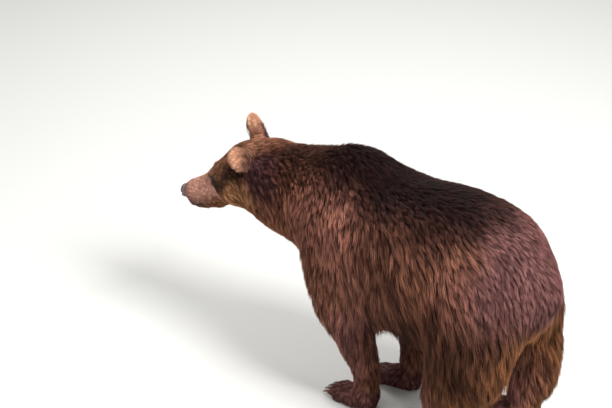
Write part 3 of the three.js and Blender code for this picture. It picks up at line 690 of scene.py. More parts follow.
@dataclass
class Face:
    """The forms of the face that the skin adds: sockets, lids, lips and the seat of the nose."""

    head: HeadFrame
    eye_radius: float = 0.0115
    eye_spot: Spot = (0.2160, 0.0570, 0.0635)
    gaze: Spot = (0.66, 0.74, 0.12)
    eye_axis: Spot = (0.62, -0.62, -0.42)
    lid_thick: float = 0.0032
    lid_gap: float = 0.0003
    opening: float = 0.50
    brow: tuple[Spot, ...] = ((0.237, 0.043, 0.070), (0.219, 0.055, 0.074), (0.197, 0.071, 0.074))
    hollow: tuple[Spot, ...] = ((0.262, 0.041, 0.041), (0.246, 0.051, 0.047), (0.232, 0.060, 0.053))
    lip_line: tuple[Spot, ...] = (
        (0.380, 0.000, -0.061), (0.368, 0.018, -0.065), (0.345, 0.036, -0.068),
        (0.310, 0.044, -0.066), (0.275, 0.050, -0.062), (0.240, 0.058, -0.056),
    )
    lip_points: int = 24

    def eye_frame(self, side: float) -> tuple[Points, np.ndarray]:
        """Finds how an eye is set.

        Args:
            side: 1 for the left eye, -1 for the right.

        Returns:
            Its middle, and its directions: out of the eye, towards its inner corner, and up.
        """
        turn = np.array([1.0, side, 1.0])
        out = self.head.way(*(np.array(self.gaze) * turn))
        out /= np.linalg.norm(out)
        along = self.head.way(*(np.array(self.eye_axis) * turn))
        along -= out * (along @ out)
        along /= np.linalg.norm(along)
        over = np.cross(out, along)
        if over @ self.head.axes[2] < 0:
            over = -over
        return self.head.place(*(np.array(self.eye_spot) * turn)), np.array([out, along, over])

    def lip_path(self, side: float) -> Points:
        """Returns the line between the lips on one side, from the front to the corner."""
        spots = np.array(self.lip_line) * np.array([1.0, side, 1.0])
        return np.array([self.head.place(*spot) for spot in smooth_line(spots, self.lip_points)])

    def bare(self, points: Points) -> Numbers:
        """Says how bare the skin is.

        Args:
            points: The places, one to a row.

        Returns:
            1 on the lids' rims, the lips and round the nose, running to 0 on the coat.
        """
        bare = ramp(egg(self.head.read(points), (0.388, 0.0, -0.024), (0.022, 0.034, 0.034)), 0.004, 0.0)
        for side in SIDES.values():
            middle, axes = self.eye_frame(side)
            local = (points - middle) @ axes.T
            far = np.linalg.norm(local * np.array([1.0, 0.8, 1.25]), axis=1)
            rim = ramp(far, self.eye_radius + 0.0065, self.eye_radius + 0.0035)
            tear = np.array([middle + axes[1] * 0.010, middle + axes[1] * 0.024 - axes[2] * 0.002])
            rim = np.maximum(rim, ramp(cord_round(points, tear, (0.005, 0.001)), 0.002, 0.0))
            lips = cord_round(points, self.lip_path(side), np.full(self.lip_points, 0.0035))
            bare = np.maximum(bare, np.maximum(rim, ramp(lips, 0.0025, 0.0)))
        return bare

    def lid(self, points: Points, side: float) -> Numbers:
        """Measures the lids of one eye, a thin shell round it with an almond-shaped gap.

        Args:
            points: The places, one to a row.
            side: 1 for the left eye, -1 for the right.

        Returns:
            The distance of each place from the lids.
        """
        middle, axes = self.eye_frame(side)
        local = (points - middle) @ axes.T
        far = np.maximum(np.linalg.norm(local, axis=1), 1e-6)
        shell = np.abs(far - (self.eye_radius + self.lid_gap + self.lid_thick / 2)) - self.lid_thick / 2
        along, over = local[:, 1] / far, local[:, 2] / far
        height = self.opening * np.sqrt(np.clip(1.0 - (along / 0.88) ** 2, 0.0, 1.0))
        gap = np.where(local[:, 0] > 0, (np.abs(over - 0.02) - height) * self.eye_radius, 0.02)
        return carve(np.maximum(shell, -(local[:, 0] + 0.001)), gap, 0.002)

    def add(self, points: Points, skin: Numbers) -> Numbers:
        """Adds the face's forms to the skin.

        Args:
            points: The places, one to a row.
            skin: The distance of each from the skin without them.

        Returns:
            The new distances.
        """
        spots = self.head.read(points)
        sided = np.stack([spots[:, 0], np.abs(spots[:, 1]), spots[:, 2]], axis=1)
        skin = meld(skin, egg(spots, (0.371, 0.0, -0.027), (0.020, 0.028, 0.029)), 0.010)
        # The brow stands over the eye, and a hollow runs from the eye's inner corner down the muzzle.
        skin = meld(skin, cord_round(sided, self.brow, (0.003, 0.005, 0.003)), 0.016)
        skin = carve(skin, cord_round(sided, self.hollow, (0.003, 0.006, 0.006)), 0.012)
        for side in SIDES.values():
            middle, axes = self.eye_frame(side)
            far = np.linalg.norm(points - middle - 0.004 * axes[0], axis=1)
            skin = carve(skin, far - self.eye_radius, 0.012)
        for side in SIDES.values():
            skin = self.add_lips(points, skin, side)
        return skin

    def add_lips(self, points: Points, skin: Numbers, side: float) -> Numbers:
        """Adds the two lips of one side, and the line between them.

        Args:
            points: The places, one to a row.
            skin: The distance of each from the skin without them.
            side: 1 for the left side, -1 for the right.

        Returns:
            The new distances.
        """
        way = self.head.way
        path = self.lip_path(side)
        taper = np.sin(np.linspace(0.35, 2.9, len(path)))
        upper = path + way(0.0, -0.1 * side, 1.0) * 0.008 - way(0.0, side, 0.0) * 0.004
        lower = path - way(0.0, 0.1 * side, 1.0) * 0.006 - way(0.0, side, 0.0) * 0.005
        outward = path + way(0.05, 0.08 * side, 0.0) * 0.03
        skin = meld(skin, cord_round(points, upper, 0.0085 * taper + 0.001), 0.010)
        skin = meld(skin, cord_round(points, lower, 0.0055 * taper + 0.001), 0.006)
        return carve(skin, cord_round(points, outward, np.full(len(path), 0.0022)), 0.003)


@dataclass
class Ears:
    """The ears: thick round leaves, cupped forward, that grow out of the skull under the coat."""

    head: HeadFrame
    spot: Spot = (0.044, 0.122, 0.186)
    right_ahead: float = 0.012
    leaf: Spot = (0.0485, 0.0160, 0.0585)
    cup: Spot = (0.0385, 0.0230, 0.0470)
    cup_ahead: float = 0.0205
    root: Spot = (0.0400, 0.0180, 0.0520)
    root_below: float = 0.040
    # How each ear is set, in degrees: leaning out to its side, turned outward, and tipped forward.
    set_left: Spot = (50.0, 4.0, 28.0)
    set_right: Spot = (24.0, 10.0, 12.0)

    def frame(self, side: float) -> tuple[Points, np.ndarray]:
        """Finds how an ear is set.

        Args:
            side: 1 for the left ear, -1 for the right.

        Returns:
            Its middle, and its directions: across it, through it to its back, and up along it.
        """
        out, turned, tipped = (math.radians(a) for a in (self.set_left if side > 0 else self.set_right))
        turn = Matrix.Rotation(side * out, 3, "Y") @ Matrix.Rotation(side * turned, 3, "Z")
        turn = turn @ Matrix.Rotation(tipped, 3, "X")
        across, through, along = (np.array(turn.col[k]) for k in range(3))
        axes = [self.head.way(-way[1], way[0], way[2]) for way in (across, through, along)]
        forward, left, up = self.spot
        forward += self.right_ahead if side < 0 else 0.0
        return self.head.place(forward, side * left, up), np.array(axes)

    def add(self, points: Points, skin: Numbers, side: float) -> Numbers:
        """Adds an ear to the skin.

        Args:
            points: The places, one to a row.
            skin: The distance of each from the skin without it.
            side: 1 for the left ear, -1 for the right.

        Returns:
            The new distances.
        """
        middle, axes = self.frame(side)
        local = (points - middle) @ axes.T
        leaf = egg(local, (0.0, 0.0, 0.0), self.leaf)
        leaf = carve(leaf, egg(local, (0.0, -self.cup_ahead, 0.0), self.cup), 0.005)
        root = egg(local, (0.0, 0.004, -self.root_below), self.root)
        return meld(skin, meld(leaf, root, 0.012), 0.016)


@dataclass
class Claw:
    """One claw of the frame: its mesh's points, the middle of its base, its tip, and its base's radius."""

    paw: Points
    tip: Points
    base: Points
    radius: float

    @staticmethod
    def names(nodes: dict[str, bpy.types.Object]) -> list[str]:
        """Returns the names of the frame's claws."""
        return sorted(name for name in nodes if "claw" in name)

    @staticmethod
    def tip_of(name: str, places: Points) -> tuple[Points, Points]:
        """Returns the middle of a claw's paw, and the claw's point that is farthest from it."""
        paw = np.mean(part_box(name.split("_claw")[0]), axis=0)
        return paw, places[np.argmax(np.linalg.norm(places - paw, axis=1))]

    @classmethod
    def from_node(cls, name: str, node: bpy.types.Object) -> Claw:
        """Measures a claw.

        Args:
            name: Its name in the frame.
            node: Its node.

        Returns:
            The claw's measures.
        """
        places = read_all(node.data.vertices, "co")
        paw, tip = cls.tip_of(name, places)
        far = np.linalg.norm(places - tip, axis=1)
        base = places[far > 0.85 * far.max()]
        middle = (base.min(0) + base.max(0)) / 2
        return cls(paw, tip, middle, float(np.linalg.norm(base - middle, axis=1).max()))

    def toe(self) -> tuple[Points, Numbers]:
        """Finds the toe behind the claw.

        Returns:
            Its middle line, and its radii there.
        """
        out = self.base - self.paw
        out[2] = 0.0
        out /= np.linalg.norm(out)
        ahead = (self.tip - self.base) / np.linalg.norm(self.tip - self.base)
        heel = self.base - out * 0.055 + np.array([0.0, 0.0, 0.006])
        line = np.array([self.base + ahead * 0.006, self.base - out * 0.022, heel])
        return line, self.radius + np.array([0.0015, 0.0055, 0.0050])


# ---- The skin ----


def flesh_names(nodes: dict[str, bpy.types.Object]) -> list[str]:
    """Returns the nodes that the skin stands for: all but the claws, the eyes and the nose."""
    return sorted(n for n in nodes if "claw" not in n and not n.startswith("eye") and n != "nose")


def outer_surface(nodes: list[bpy.types.Object], step: float) -> tuple[Points, np.ndarray]:
    """Joins solids that all but touch into one closed surface.

    Args:
        nodes: The solids.
        step: The size of the new surface's faces.

    Returns:
        The surface's corners and its even quads.
    """
    corners, faces, count = [], [], 0
    for node in nodes:
        node.data.calc_loop_triangles()
        corners.append(read_all(node.data.vertices, "co").astype(np.float32))
        faces.append(read_all(node.data.loop_triangles, "vertices", kind=np.int32) + count)
        count += len(node.data.vertices)
    volume = openvdb.FloatGrid.createLevelSetFromPolygons(
        np.concatenate(corners),
        triangles=np.concatenate(faces).astype(np.uint32),
        transform=openvdb.createLinearTransform(voxelSize=step),
        halfWidth=3.0,
    )
    points, _, quads = volume.convertToPolygons(isovalue=0.0, adaptivity=0.0)
    return points, quads


class Zone(Enum):
    """Parts of the skin that are drawn finer and finer."""

    FACE = 1
    LINES = 2


@dataclass
class Skin:
    """One skin for all the flesh, inside the solids by the coat's depth."""

    nodes: dict[str, bpy.types.Object]
    head: HeadFrame
    coat: CoatMap
    face: Face
    ears: Ears
    cell: float = 0.006
    reach: float = 0.054
    kept: float = 0.27
    lid_cell: float = 0.0008
    lid_reach: float = 0.009
    # The crease between the shoulder and the ribs, on the left side.
    crease: tuple[Spot, ...] = (
        (0.266, 0.152, 0.857), (0.285, 0.186, 0.800), (0.292, 0.220, 0.740),
        (0.281, 0.243, 0.654), (0.251, 0.255, 0.556), (0.180, 0.225, 0.450),
    )
    crease_radii: tuple[float, ...] = (0.022, 0.034, 0.036, 0.036, 0.036, 0.024)

    def __post_init__(self) -> None:
        """Measures the flesh of the frame's nodes."""
        solids = [self.nodes[name] for name in flesh_names(self.nodes) if not name.startswith("ear")]
        self.near = Grid.around(*outer_surface(solids, 0.004), self.cell, self.reach)
        self.smooth = self.near.blurred(0.016)
        self.fine = self.near.blurred(0.0055)
        self.toes = [Claw.from_node(name, self.nodes[name]).toe() for name in Claw.names(self.nodes)]
        LOG.info("flesh measured on a grid of %s", self.near.values.shape)

    def flesh(self, points: Points) -> Numbers:
        """Measures the distance from the solids' own surface, their facets smoothed away.

        Args:
            points: The places, one to a row.

        Returns:
            One distance for each, smoothed least on the head and the paws.
        """
        spots = self.head.read(points)
        sharp = np.maximum(ramp(spots[:, 0], -0.03, 0.08), ramp(points[:, 2], 0.16, 0.10))
        return self.smooth.at(points) * (1.0 - sharp) + self.fine.at(points) * sharp

    def distance(self, points: Points) -> Numbers:
        """Measures the distance from the skin, with all its forms.

        Args:
            points: The places, one to a row.

        Returns:
            One distance for each.
        """
        skin = self.flesh(points) + self.coat.depth(points) * ramp(points[:, 2], 0.0, 0.03)
        self.add_creases(points, skin)
        self.add_toes(points, skin)
        skin = np.maximum(skin, 0.0006 - points[:, 2])
        ahead = np.flatnonzero((self.head.read(points)[:, 0] > 0.13) & (np.abs(skin) < 0.05))
        skin[ahead] = self.face.add(points[ahead], skin[ahead])
        for side in SIDES.values():
            here = np.flatnonzero(np.linalg.norm(points - self.ears.frame(side)[0], axis=1) < 0.13)
            skin[here] = self.ears.add(points[here], skin[here], side)
        return skin

    def add_creases(self, points: Points, skin: Numbers) -> None:
        """Carves the creases behind the shoulders.

        Args:
            points: The places, one to a row.
            skin: The distance of each from the skin, which is changed.
        """
        crease = np.array(self.crease)
        low, high = crease.min(0) - 0.06, crease.max(0) + 0.06
        for side in SIDES.values():
            sided = points * np.array([side, 1.0, 1.0])
            here = np.flatnonzero(((sided > low) & (sided < high)).all(1))
            skin[here] = carve(skin[here], cord_round(sided[here], crease, self.crease_radii), 0.020)

    def add_toes(self, points: Points, skin: Numbers) -> None:
        """Adds the toes that the claws grow out of.

        Args:
            points: The places, one to a row.
            skin: The distance of each from the skin, which is changed.
        """
        low = np.flatnonzero((points[:, 2] < 0.09) & (np.abs(skin) < 0.06))
        for line, radii in self.toes:
            here = low[np.linalg.norm(points[low] - line[1], axis=1) < 0.075]
            skin[here] = meld(skin[here], cord_round(points[here], line, radii), 0.006)

    def build(self) -> bpy.types.Object:
        """Makes the skin's mesh: calm on the body, finer on the face and the ears, with the lids set in.

        Returns:
            The skin, with no material yet.
        """
        grid = Grid(self.near.low, self.cell, np.where(self.near.values < 0, -0.02, 0.02).astype(np.float32))
        near = self.near.values.reshape(-1)
        corners = grid.corners()
        wanted = (near > 0.01 - self.reach) & (near < 0.012)
        for side in SIDES.values():
            wanted |= np.linalg.norm(corners - self.ears.frame(side)[0], axis=1) < 0.09
        band = np.flatnonzero(wanted)
        grid.values.reshape(-1)[band] = self.distance(corners[band])
        skin = drawn("skin", grid)
        self.calm(skin)
        body = bmesh.new()
        body.from_mesh(skin.data)
        self.keep_largest(body)
        for zone in Zone:
            self.refine(body, zone)
        body.to_mesh(skin.data)
        body.free()
        for name, side in SIDES.items():
            self.set_in(skin, self.lids(f"lids_{name}", side))
        skin.data.shade_smooth()
        return skin

    def calm(self, skin: bpy.types.Object) -> None:
        """Thins out the mesh of the body, where the coat hides it.

        Args:
            skin: The skin, whose mesh is changed.
        """
        points = read_all(skin.data.vertices, "co")
        group = skin.vertex_groups.new(name="calm")
        plain = (self.head.read(points)[:, 0] < -0.03) & (points[:, 2] > 0.11)
        group.add(np.flatnonzero(plain).tolist(), 1.0, "REPLACE")
        thinner = skin.modifiers.new("calm", "DECIMATE")
        thinner.ratio = self.kept
        thinner.vertex_group = group.name
        thinner.use_collapse_triangulate = True
        apply_modifiers(skin)
        skin.vertex_groups.clear()

    @staticmethod
    def keep_largest(body: bmesh.types.BMesh) -> None:
        """Deletes whatever isn't joined to the largest part of a mesh.

        Args:
            body: The mesh, which is changed.
        """
        left = set(body.verts)
        best: set[bmesh.types.BMVert] = set()
        while left:
            start = left.pop()
            part, edge = {start}, [start]
            while edge:
                linked_to = {vert for link in edge.pop().link_edges for vert in link.verts} & left
                left -= linked_to
                part |= linked_to
                edge += linked_to
            best = max(best, part, key=len)
        bmesh.ops.delete(body, geom=[v for v in body.verts if v not in best], context="VERTS")

    def in_zone(self, points: Points, zone: Zone) -> np.ndarray:
        """Says which places lie in a zone of the skin.

        Args:
            points: The places, one to a row.
            zone: The zone.

        Returns:
            True or False for each place.
        """
        spots = self.head.read(points)
        if zone is Zone.FACE:
            near = (spots[:, 0] > 0.17) & (spots[:, 2] < 0.12)
            for side in SIDES.values():
                near |= np.linalg.norm(points - self.ears.frame(side)[0], axis=1) < 0.070
            return near
        near = cord_round(spots, ((0.372, 0.0, 0.0), (0.372, 0.0, -0.05)), (0.038, 0.034)) < 0
        for side in SIDES.values():
            lips = self.face.lip_path(side)
            near |= np.linalg.norm(points - self.face.eye_frame(side)[0], axis=1) < 0.024
            near |= cord_round(points, lips, np.full(len(lips), 0.012)) < 0
        return near

    def refine(self, body: bmesh.types.BMesh, zone: Zone) -> None:
        """Splits the edges of a zone once, and settles its points on the skin.

        Args:
            body: The skin's mesh, which is changed.
            zone: The zone.
        """
        wanted = self.in_zone(np.array([v.co for v in body.verts]), zone)
        body.verts.index_update()
        edges = [e for e in body.edges if wanted[e.verts[0].index] and wanted[e.verts[1].index]]
        bmesh.ops.subdivide_edges(body, edges=edges, cuts=1, use_grid_fill=True)
        points = np.array([v.co for v in body.verts])
        inside = np.flatnonzero(self.in_zone(points, zone))
        body.verts.ensure_lookup_table()
        for index, place in zip(inside.tolist(), self.settle(points[inside])):
            body.verts[index].co = place

    def settle(self, points: Points, rounds: int = 3, step: float = 0.0006) -> Points:
        """Moves points onto the skin along its slope.

        Args:
            points: The points, one to a row.
            rounds: How many times they are moved.
            step: The step over which the slope is measured.

        Returns:
            Their new places.
        """
        for _ in range(rounds):
            here = self.distance(points)
            slope = [self.distance(points + step * way) - here for way in np.eye(3)]
            slope = np.stack(slope, axis=1) / step
            steep = np.maximum((slope**2).sum(1), 0.2)
            points = points - np.clip(here / steep, -0.003, 0.003)[:, None] * slope
        return points

    def lids(self, name: str, side: float) -> bpy.types.Object:
        """Makes the two lids of an eye, running out just under the skin round it.

        Args:
            name: The new object's name.
            side: 1 for the left eye, -1 for the right.

        Returns:
            The lids.
        """
        middle = self.face.eye_frame(side)[0]
        reach = self.face.eye_radius + self.lid_reach

        def lid(points: Points) -> Numbers:
            """Returns the distance from the lids and the skin that they grow out of."""
            shape = meld(self.distance(points) + 0.0005, self.face.lid(points, side), 0.004)
            return np.maximum(shape, np.linalg.norm(points - middle, axis=1) - reach)

        return drawn(name, Grid.filled(middle, reach, self.lid_cell, lid))

    @staticmethod
    def set_in(skin: bpy.types.Object, piece: bpy.types.Object) -> None:
        """Joins a piece to the skin's mesh.

        Args:
            skin: The skin.
            piece: The piece, which is removed.
        """
        shape = bmesh.new()
        shape.from_mesh(skin.data)
        shape.from_mesh(piece.data)
        shape.to_mesh(skin.data)
        shape.free()
        bpy.data.objects.remove(piece)

    @staticmethod
    def unwrap(skin: bpy.types.Object, angle: float = 70.0, margin: float = 0.0005) -> None:
        """Unwraps the skin's own shape into the map that the coat's patches lie on.

        Args:
            skin: The skin.
            angle: How far faces of one island may turn, in degrees.
            margin: The room between the islands.
        """
        skin.data.uv_layers.new(name="OFBake")
        bpy.context.view_layer.objects.active = skin
        skin.select_set(True)
        bpy.ops.object.mode_set(mode="EDIT")
        bpy.ops.mesh.select_all(action="SELECT")
        bpy.ops.uv.smart_project(angle_limit=math.radians(angle), island_margin=margin)
        bpy.ops.object.mode_set(mode="OBJECT")
        skin.select_set(False)


# ---- Trees of nodes ----


class Graph:
    """A short way to write a tree of nodes."""

    def __init__(self, tree: bpy.types.NodeTree) -> None:
        """Writes in a tree."""
        self.tree = tree

    @classmethod
    def group(cls, name: str, kind: str, inputs: dict[str, str], outputs: dict[str, str]) -> Graph:
        """Starts a group of nodes.

        Args:
            name: The group's name.
            kind: The type of its tree.
            inputs: The socket type of each input, by its name.
            outputs: The same for its outputs.

        Returns:
            A way to write in the group.
        """
        graph = cls(bpy.data.node_groups.new(name, kind))
        for way, sockets in (("INPUT", inputs), ("OUTPUT", outputs)):
            for label, socket in sockets.items():
                graph.tree.interface.new_socket(label, in_out=way, socket_type=socket)
        return graph

    @staticmethod
    def socket(sockets: Parts, key: str | int) -> Socket:
        """Finds a node's input or output by its number, or by its name among those in use."""
        return sockets[key] if isinstance(key, int) else next(s for s in sockets if s.name == key and s.enabled)

    def entry(self) -> Parts:
        """Returns the group's own inputs."""
        return self.tree.nodes.new("NodeGroupInput").outputs

    def give(self, socket: Socket, value: object) -> None:
        """Gives an input a value.

        Args:
            socket: The input.
            value: The value, or another node's output.
        """
        if isinstance(value, Socket):
            self.tree.links.new(value, socket)
        else:
            socket.default_value = value

    def node(self, kind: str, inputs: Values | None = None, out: str | int = 0, **settings: object) -> Socket:
        """Adds a node.

        Args:
            kind: The node's type.
            inputs: A value or another node's output for each input, by name or number.
            out: The output that is returned.
            settings: The node's own settings.

        Returns:
            The chosen output of the new node.
        """
        node = self.tree.nodes.new(kind)
        for key, value in settings.items():
            setattr(node, key, value)
        for key, value in (inputs or {}).items():
            self.give(self.socket(node.inputs, key), value)
        return self.socket(node.outputs, out)

    def end(self, value: Socket) -> bpy.types.NodeTree:
        """Ends the group with a value for its first output, and returns its tree."""
        self.tree.links.new(value, self.tree.nodes.new("NodeGroupOutput").inputs[0])
        return self.tree

    def math(self, operation: str, *values: object, clamp: bool = False) -> Socket:
        """Works on numbers."""
        return self.node("ShaderNodeMath", dict(enumerate(values)), operation=operation, use_clamp=clamp)

    def add(self, first: object, second: object) -> Socket:
        """Adds two numbers."""
        return self.math("ADD", first, second)

    def less(self, first: object, second: object) -> Socket:
        """Takes the second number from the first."""
        return self.math("SUBTRACT", first, second)

    def times(self, first: object, second: object) -> Socket:
        """Multiplies two numbers."""
        return self.math("MULTIPLY", first, second)

    def vector(self, operation: str, *values: object, out: str = "Vector") -> Socket:
        """Works on vectors."""
        return self.node("ShaderNodeVectorMath", dict(enumerate(values)), out, operation=operation)

    def both(self, first: object, second: object) -> Socket:
        """Adds two vectors."""
        return self.vector("ADD", first, second)

    def scaled(self, vector: object, by: object) -> Socket:
        """Scales a vector by a number."""
        return self.node("ShaderNodeVectorMath", {"Vector": vector, "Scale": by}, operation="SCALE")


class GeometryGraph(Graph):
    """A tree of geometry nodes, whose first input and only output are the geometry."""

    @classmethod
    def start(cls, name: str, inputs: dict[str, str]) -> GeometryGraph:
        """Starts a tree with further inputs, each given by its name and its socket type."""
        geometry = {"Geometry": "NodeSocketGeometry"}
        return cls.group(name, "GeometryNodeTree", {**geometry, **inputs}, geometry)

    def named(self, name: str, kind: str = "FLOAT") -> Socket:
        """Reads a named attribute."""
        return self.node("GeometryNodeInputNamedAttribute", {"Name": name}, "Attribute", data_type=kind)

    def chance(self, low: float, high: float, seed: int, own: object | None = None) -> Socket:
        """Draws a random number for each point, or for each value of its own number."""
        inputs: Values = {"Min": low, "Max": high, "Seed": seed} | ({} if own is None else {"ID": own})
        return self.node("FunctionNodeRandomValue", inputs, "Value", data_type="FLOAT")

    def scatter(self, mesh: object, number: object, seed: object) -> Socket:
        """Spreads points over faces, so many to a square metre."""
        inputs = {"Mesh": mesh, "Density": number, "Seed": seed}
        return self.node("GeometryNodeDistributePointsOnFaces", inputs, "Points")

    def store(self, geometry: object, name: str, value: object, kind: str, domain: str = "POINT") -> Socket:
        """Stores a named attribute on a geometry, and returns the result."""
        inputs = {"Geometry": geometry, "Name": name, "Value": value}
        return self.node("GeometryNodeStoreNamedAttribute", inputs, data_type=kind, domain=domain)

    def finish(self, geometry: object, material: bpy.types.Material) -> bpy.types.NodeTree:
        """Realizes the instances, gives the result its material and ends the tree."""
        real = self.node("GeometryNodeRealizeInstances", {"Geometry": geometry})
        return self.end(self.node("GeometryNodeSetMaterial", {"Geometry": real, "Material": material}))


def grown(name: str, base: bpy.types.Object, tree: bpy.types.NodeTree, values: Values) -> bpy.types.Object:
    """Runs a tree on a base object and returns the result as a plain mesh object.

    Args:
        name: The new object's name.
        base: The object that the tree starts from.
        tree: The tree of geometry nodes.
        values: The tree's inputs, by name.

    Returns:
        A new object at the origin.
    """
    modifier = base.modifiers.new(name, "NODES")
    modifier.node_group = tree
    for item in tree.interface.items_tree:
        if item.in_out == "INPUT" and item.name in values:
            modifier[item.identifier] = values[item.name]
    shape = base.evaluated_get(bpy.context.evaluated_depsgraph_get())
    mesh = bpy.data.meshes.new_from_object(shape)
    base.modifiers.remove(modifier)
    mesh.name = name
    return linked(name, mesh)


# ---- The coat ----


@dataclass
class Coat:
    """The fur: thin tufts all over the skin, in pieces by side and by place along the body."""

    coat: CoatMap
    skin: Skin
    budget: int = 234_000
    slices: int = 4
    patch: float = 0.003
    clump: float = 16.0
    fine: float = 0.66
    # How much of the skin the tufts cover, in layers: where they are short, and how much more where long.
    cover: float = 2.2
    more_cover: float = 5.5
    # How a tuft strays from the lie: with its place, by its own chance, and by its lock's.
    drift: float = 1.3
    drift_scale: float = 7.0
    own_sway: float = 0.14
    lock_sway: float = 0.22
    # A tuft joins a lock only where the middle of one is near.
    lock_reach: float = 0.06
    pull: float = 0.74
    late: float = 1.3
    # How high a tuft stands: at least, more by its lock's chance and by its own, and less at a lock's edges.
    height: float = 0.50
    lock_height: float = 0.42
    own_height: float = 0.25
    falling: float = 0.9
    sag: float = 0.30
    # The light falls on a lock as on one rounded form: a tuft's own sides turn its shading only a little.
    lock_round: float = 1.1
    own_round: float = 0.7
    foot_turn: float = 0.35

    def lay(self, skin: bpy.types.Object) -> None:
        """Writes the coat's measures and lie on the skin, as named attributes.

        Args:
            skin: The skin, whose mesh gets them.
        """
        mesh = skin.data
        points, out = read_all(mesh.vertices, "co"), read_all(mesh.vertices, "normal")
        values = self.coat.blend(points, slice(0, None))
        long, wide, loose, rise = values[:, 1], values[:, 2] * self.fine, values[:, 9], values[:, 10]
        lie = values[:, 11:14]
        lie = lie - out * (lie * out).sum(1)[:, None]
        lie = lie / np.maximum(np.linalg.norm(lie, axis=1), 1e-6)[:, None]
        bare = np.maximum(self.skin.face.bare(points), ramp(points[:, 2], 0.010, 0.005))
        cover = self.cover + self.more_cover * ramp(long, 0.008, 0.05)
        number = cover / (wide * long) * ramp(bare, 0.6, 0.2) * ramp(points[:, 2], 0.004, 0.012)
        opaque = np.ones((len(points), 1), np.float32)
        foot, tip = (np.hstack([values[:, first : first + 3], opaque]) for first in (3, 6))
        laid = {"out": out, "lie": lie, "foot": foot, "tip": tip}
        laid |= {"long": long, "wide": wide, "rise": rise, "loose": loose, "bare": bare}
        for name, numbers in laid.items():
            write(mesh, name, numbers)
        self.share(mesh, number)

    def share(self, mesh: bpy.types.Mesh, number: Numbers) -> None:
        """Sets how many tufts grow at each place, and which piece of the coat each face belongs to.

        Args:
            mesh: The skin's mesh, which gets both.
            number: The share of the tufts that each of its points has.
        """
        middles = read_all(mesh.polygons, "center")
        starts = read_all(mesh.polygons, "loop_start", 1, np.int32)[:, 0]
        corners = read_all(mesh.loops, "vertex_index", 1, np.int32)[:, 0]
        expected = read_all(mesh.polygons, "area", 1)[:, 0] * number[corners[starts]]
        spots = self.skin.head.read(middles)
        face = spots[:, 0] > 0.0
        left = np.where(face, spots[:, 1], middles[:, 0]) >= 0
        piece = np.where(left, 0, 1).astype(np.int32)
        for offset, wanted in ((2, left & ~face), (2 + self.slices, ~left & ~face)):
            order = np.flatnonzero(wanted)[np.argsort(middles[wanted, 1])]
            total = np.cumsum(expected[order])
            piece[order] = offset + np.minimum((total / total[-1] * self.slices).astype(int), self.slices - 1)
        write(mesh, "number", number * self.budget / expected.sum())
        write(mesh, "piece", piece, "FACE")

    @staticmethod
    def tuft() -> bpy.types.Object:
        """Makes the plain tuft that all the others are copies of.

        Returns:
            A three-sided form, pointed at both its ends, from 0 to 1 along x.
        """
        places, faces = [(0.0, 0.0, 0.0)], []
        for corner in range(3):
            angle = math.radians(90 + 120 * corner)
            places.append((0.4, 0.5 * math.cos(angle), 0.3 * math.sin(angle)))
            after = (corner + 1) % 3
            faces += [(0, 1 + after, 1 + corner), (1 + corner, 1 + after, 4)]
        places.append((1.0, 0.0, 0.0))
        mesh = bpy.data.meshes.new("tuft")
        mesh.from_pydata(places, [], faces)
        for axis, name in enumerate(("along", "across", "thick")):
            write(mesh, name, np.array(places)[:, axis])
        return bpy.data.objects.new("tuft", mesh)

    def tree(self, material: bpy.types.Material) -> bpy.types.NodeTree:
        """Builds the tree that grows the tufts of one piece of the coat.

        Args:
            material: The tufts' material.

        Returns:
            The tree.
        """
        tree = GeometryGraph.start("coat", {
            "Tuft": "NodeSocketObject", "Piece": "NodeSocketInt", "Tufts to a lock": "NodeSocketFloat",
            "Patch": "NodeSocketFloat", "Seed": "NodeSocketInt",
        })
        entry = tree.entry()
        points = self.plant(tree, entry)
        tuft = tree.node("GeometryNodeObjectInfo", {"Object": entry["Tuft"], "As Instance": True}, "Geometry")
        tufts = tree.node("GeometryNodeInstanceOnPoints", {"Points": points, "Instance": tuft})
        tufts = self.bend(tree, entry, tree.node("GeometryNodeRealizeInstances", {"Geometry": tufts}))
        along, across = tree.named("along"), tree.named("across")
        offset = tree.node("ShaderNodeCombineXYZ", {"X": tree.less(along, 0.5), "Y": across})
        on_map = tree.both(tree.named("OFBake", "FLOAT_VECTOR"), tree.scaled(offset, entry["Patch"]))
        tufts = tree.store(tufts, "OFBake", on_map, "FLOAT2", "CORNER")
        spent = "root heart grow sway out lie long wide rise loose bare number piece across thick"
        for name in spent.split():
            tufts = tree.node("GeometryNodeRemoveAttribute", {"Geometry": tufts, "Name": name})
        return tree.finish(tufts, material)

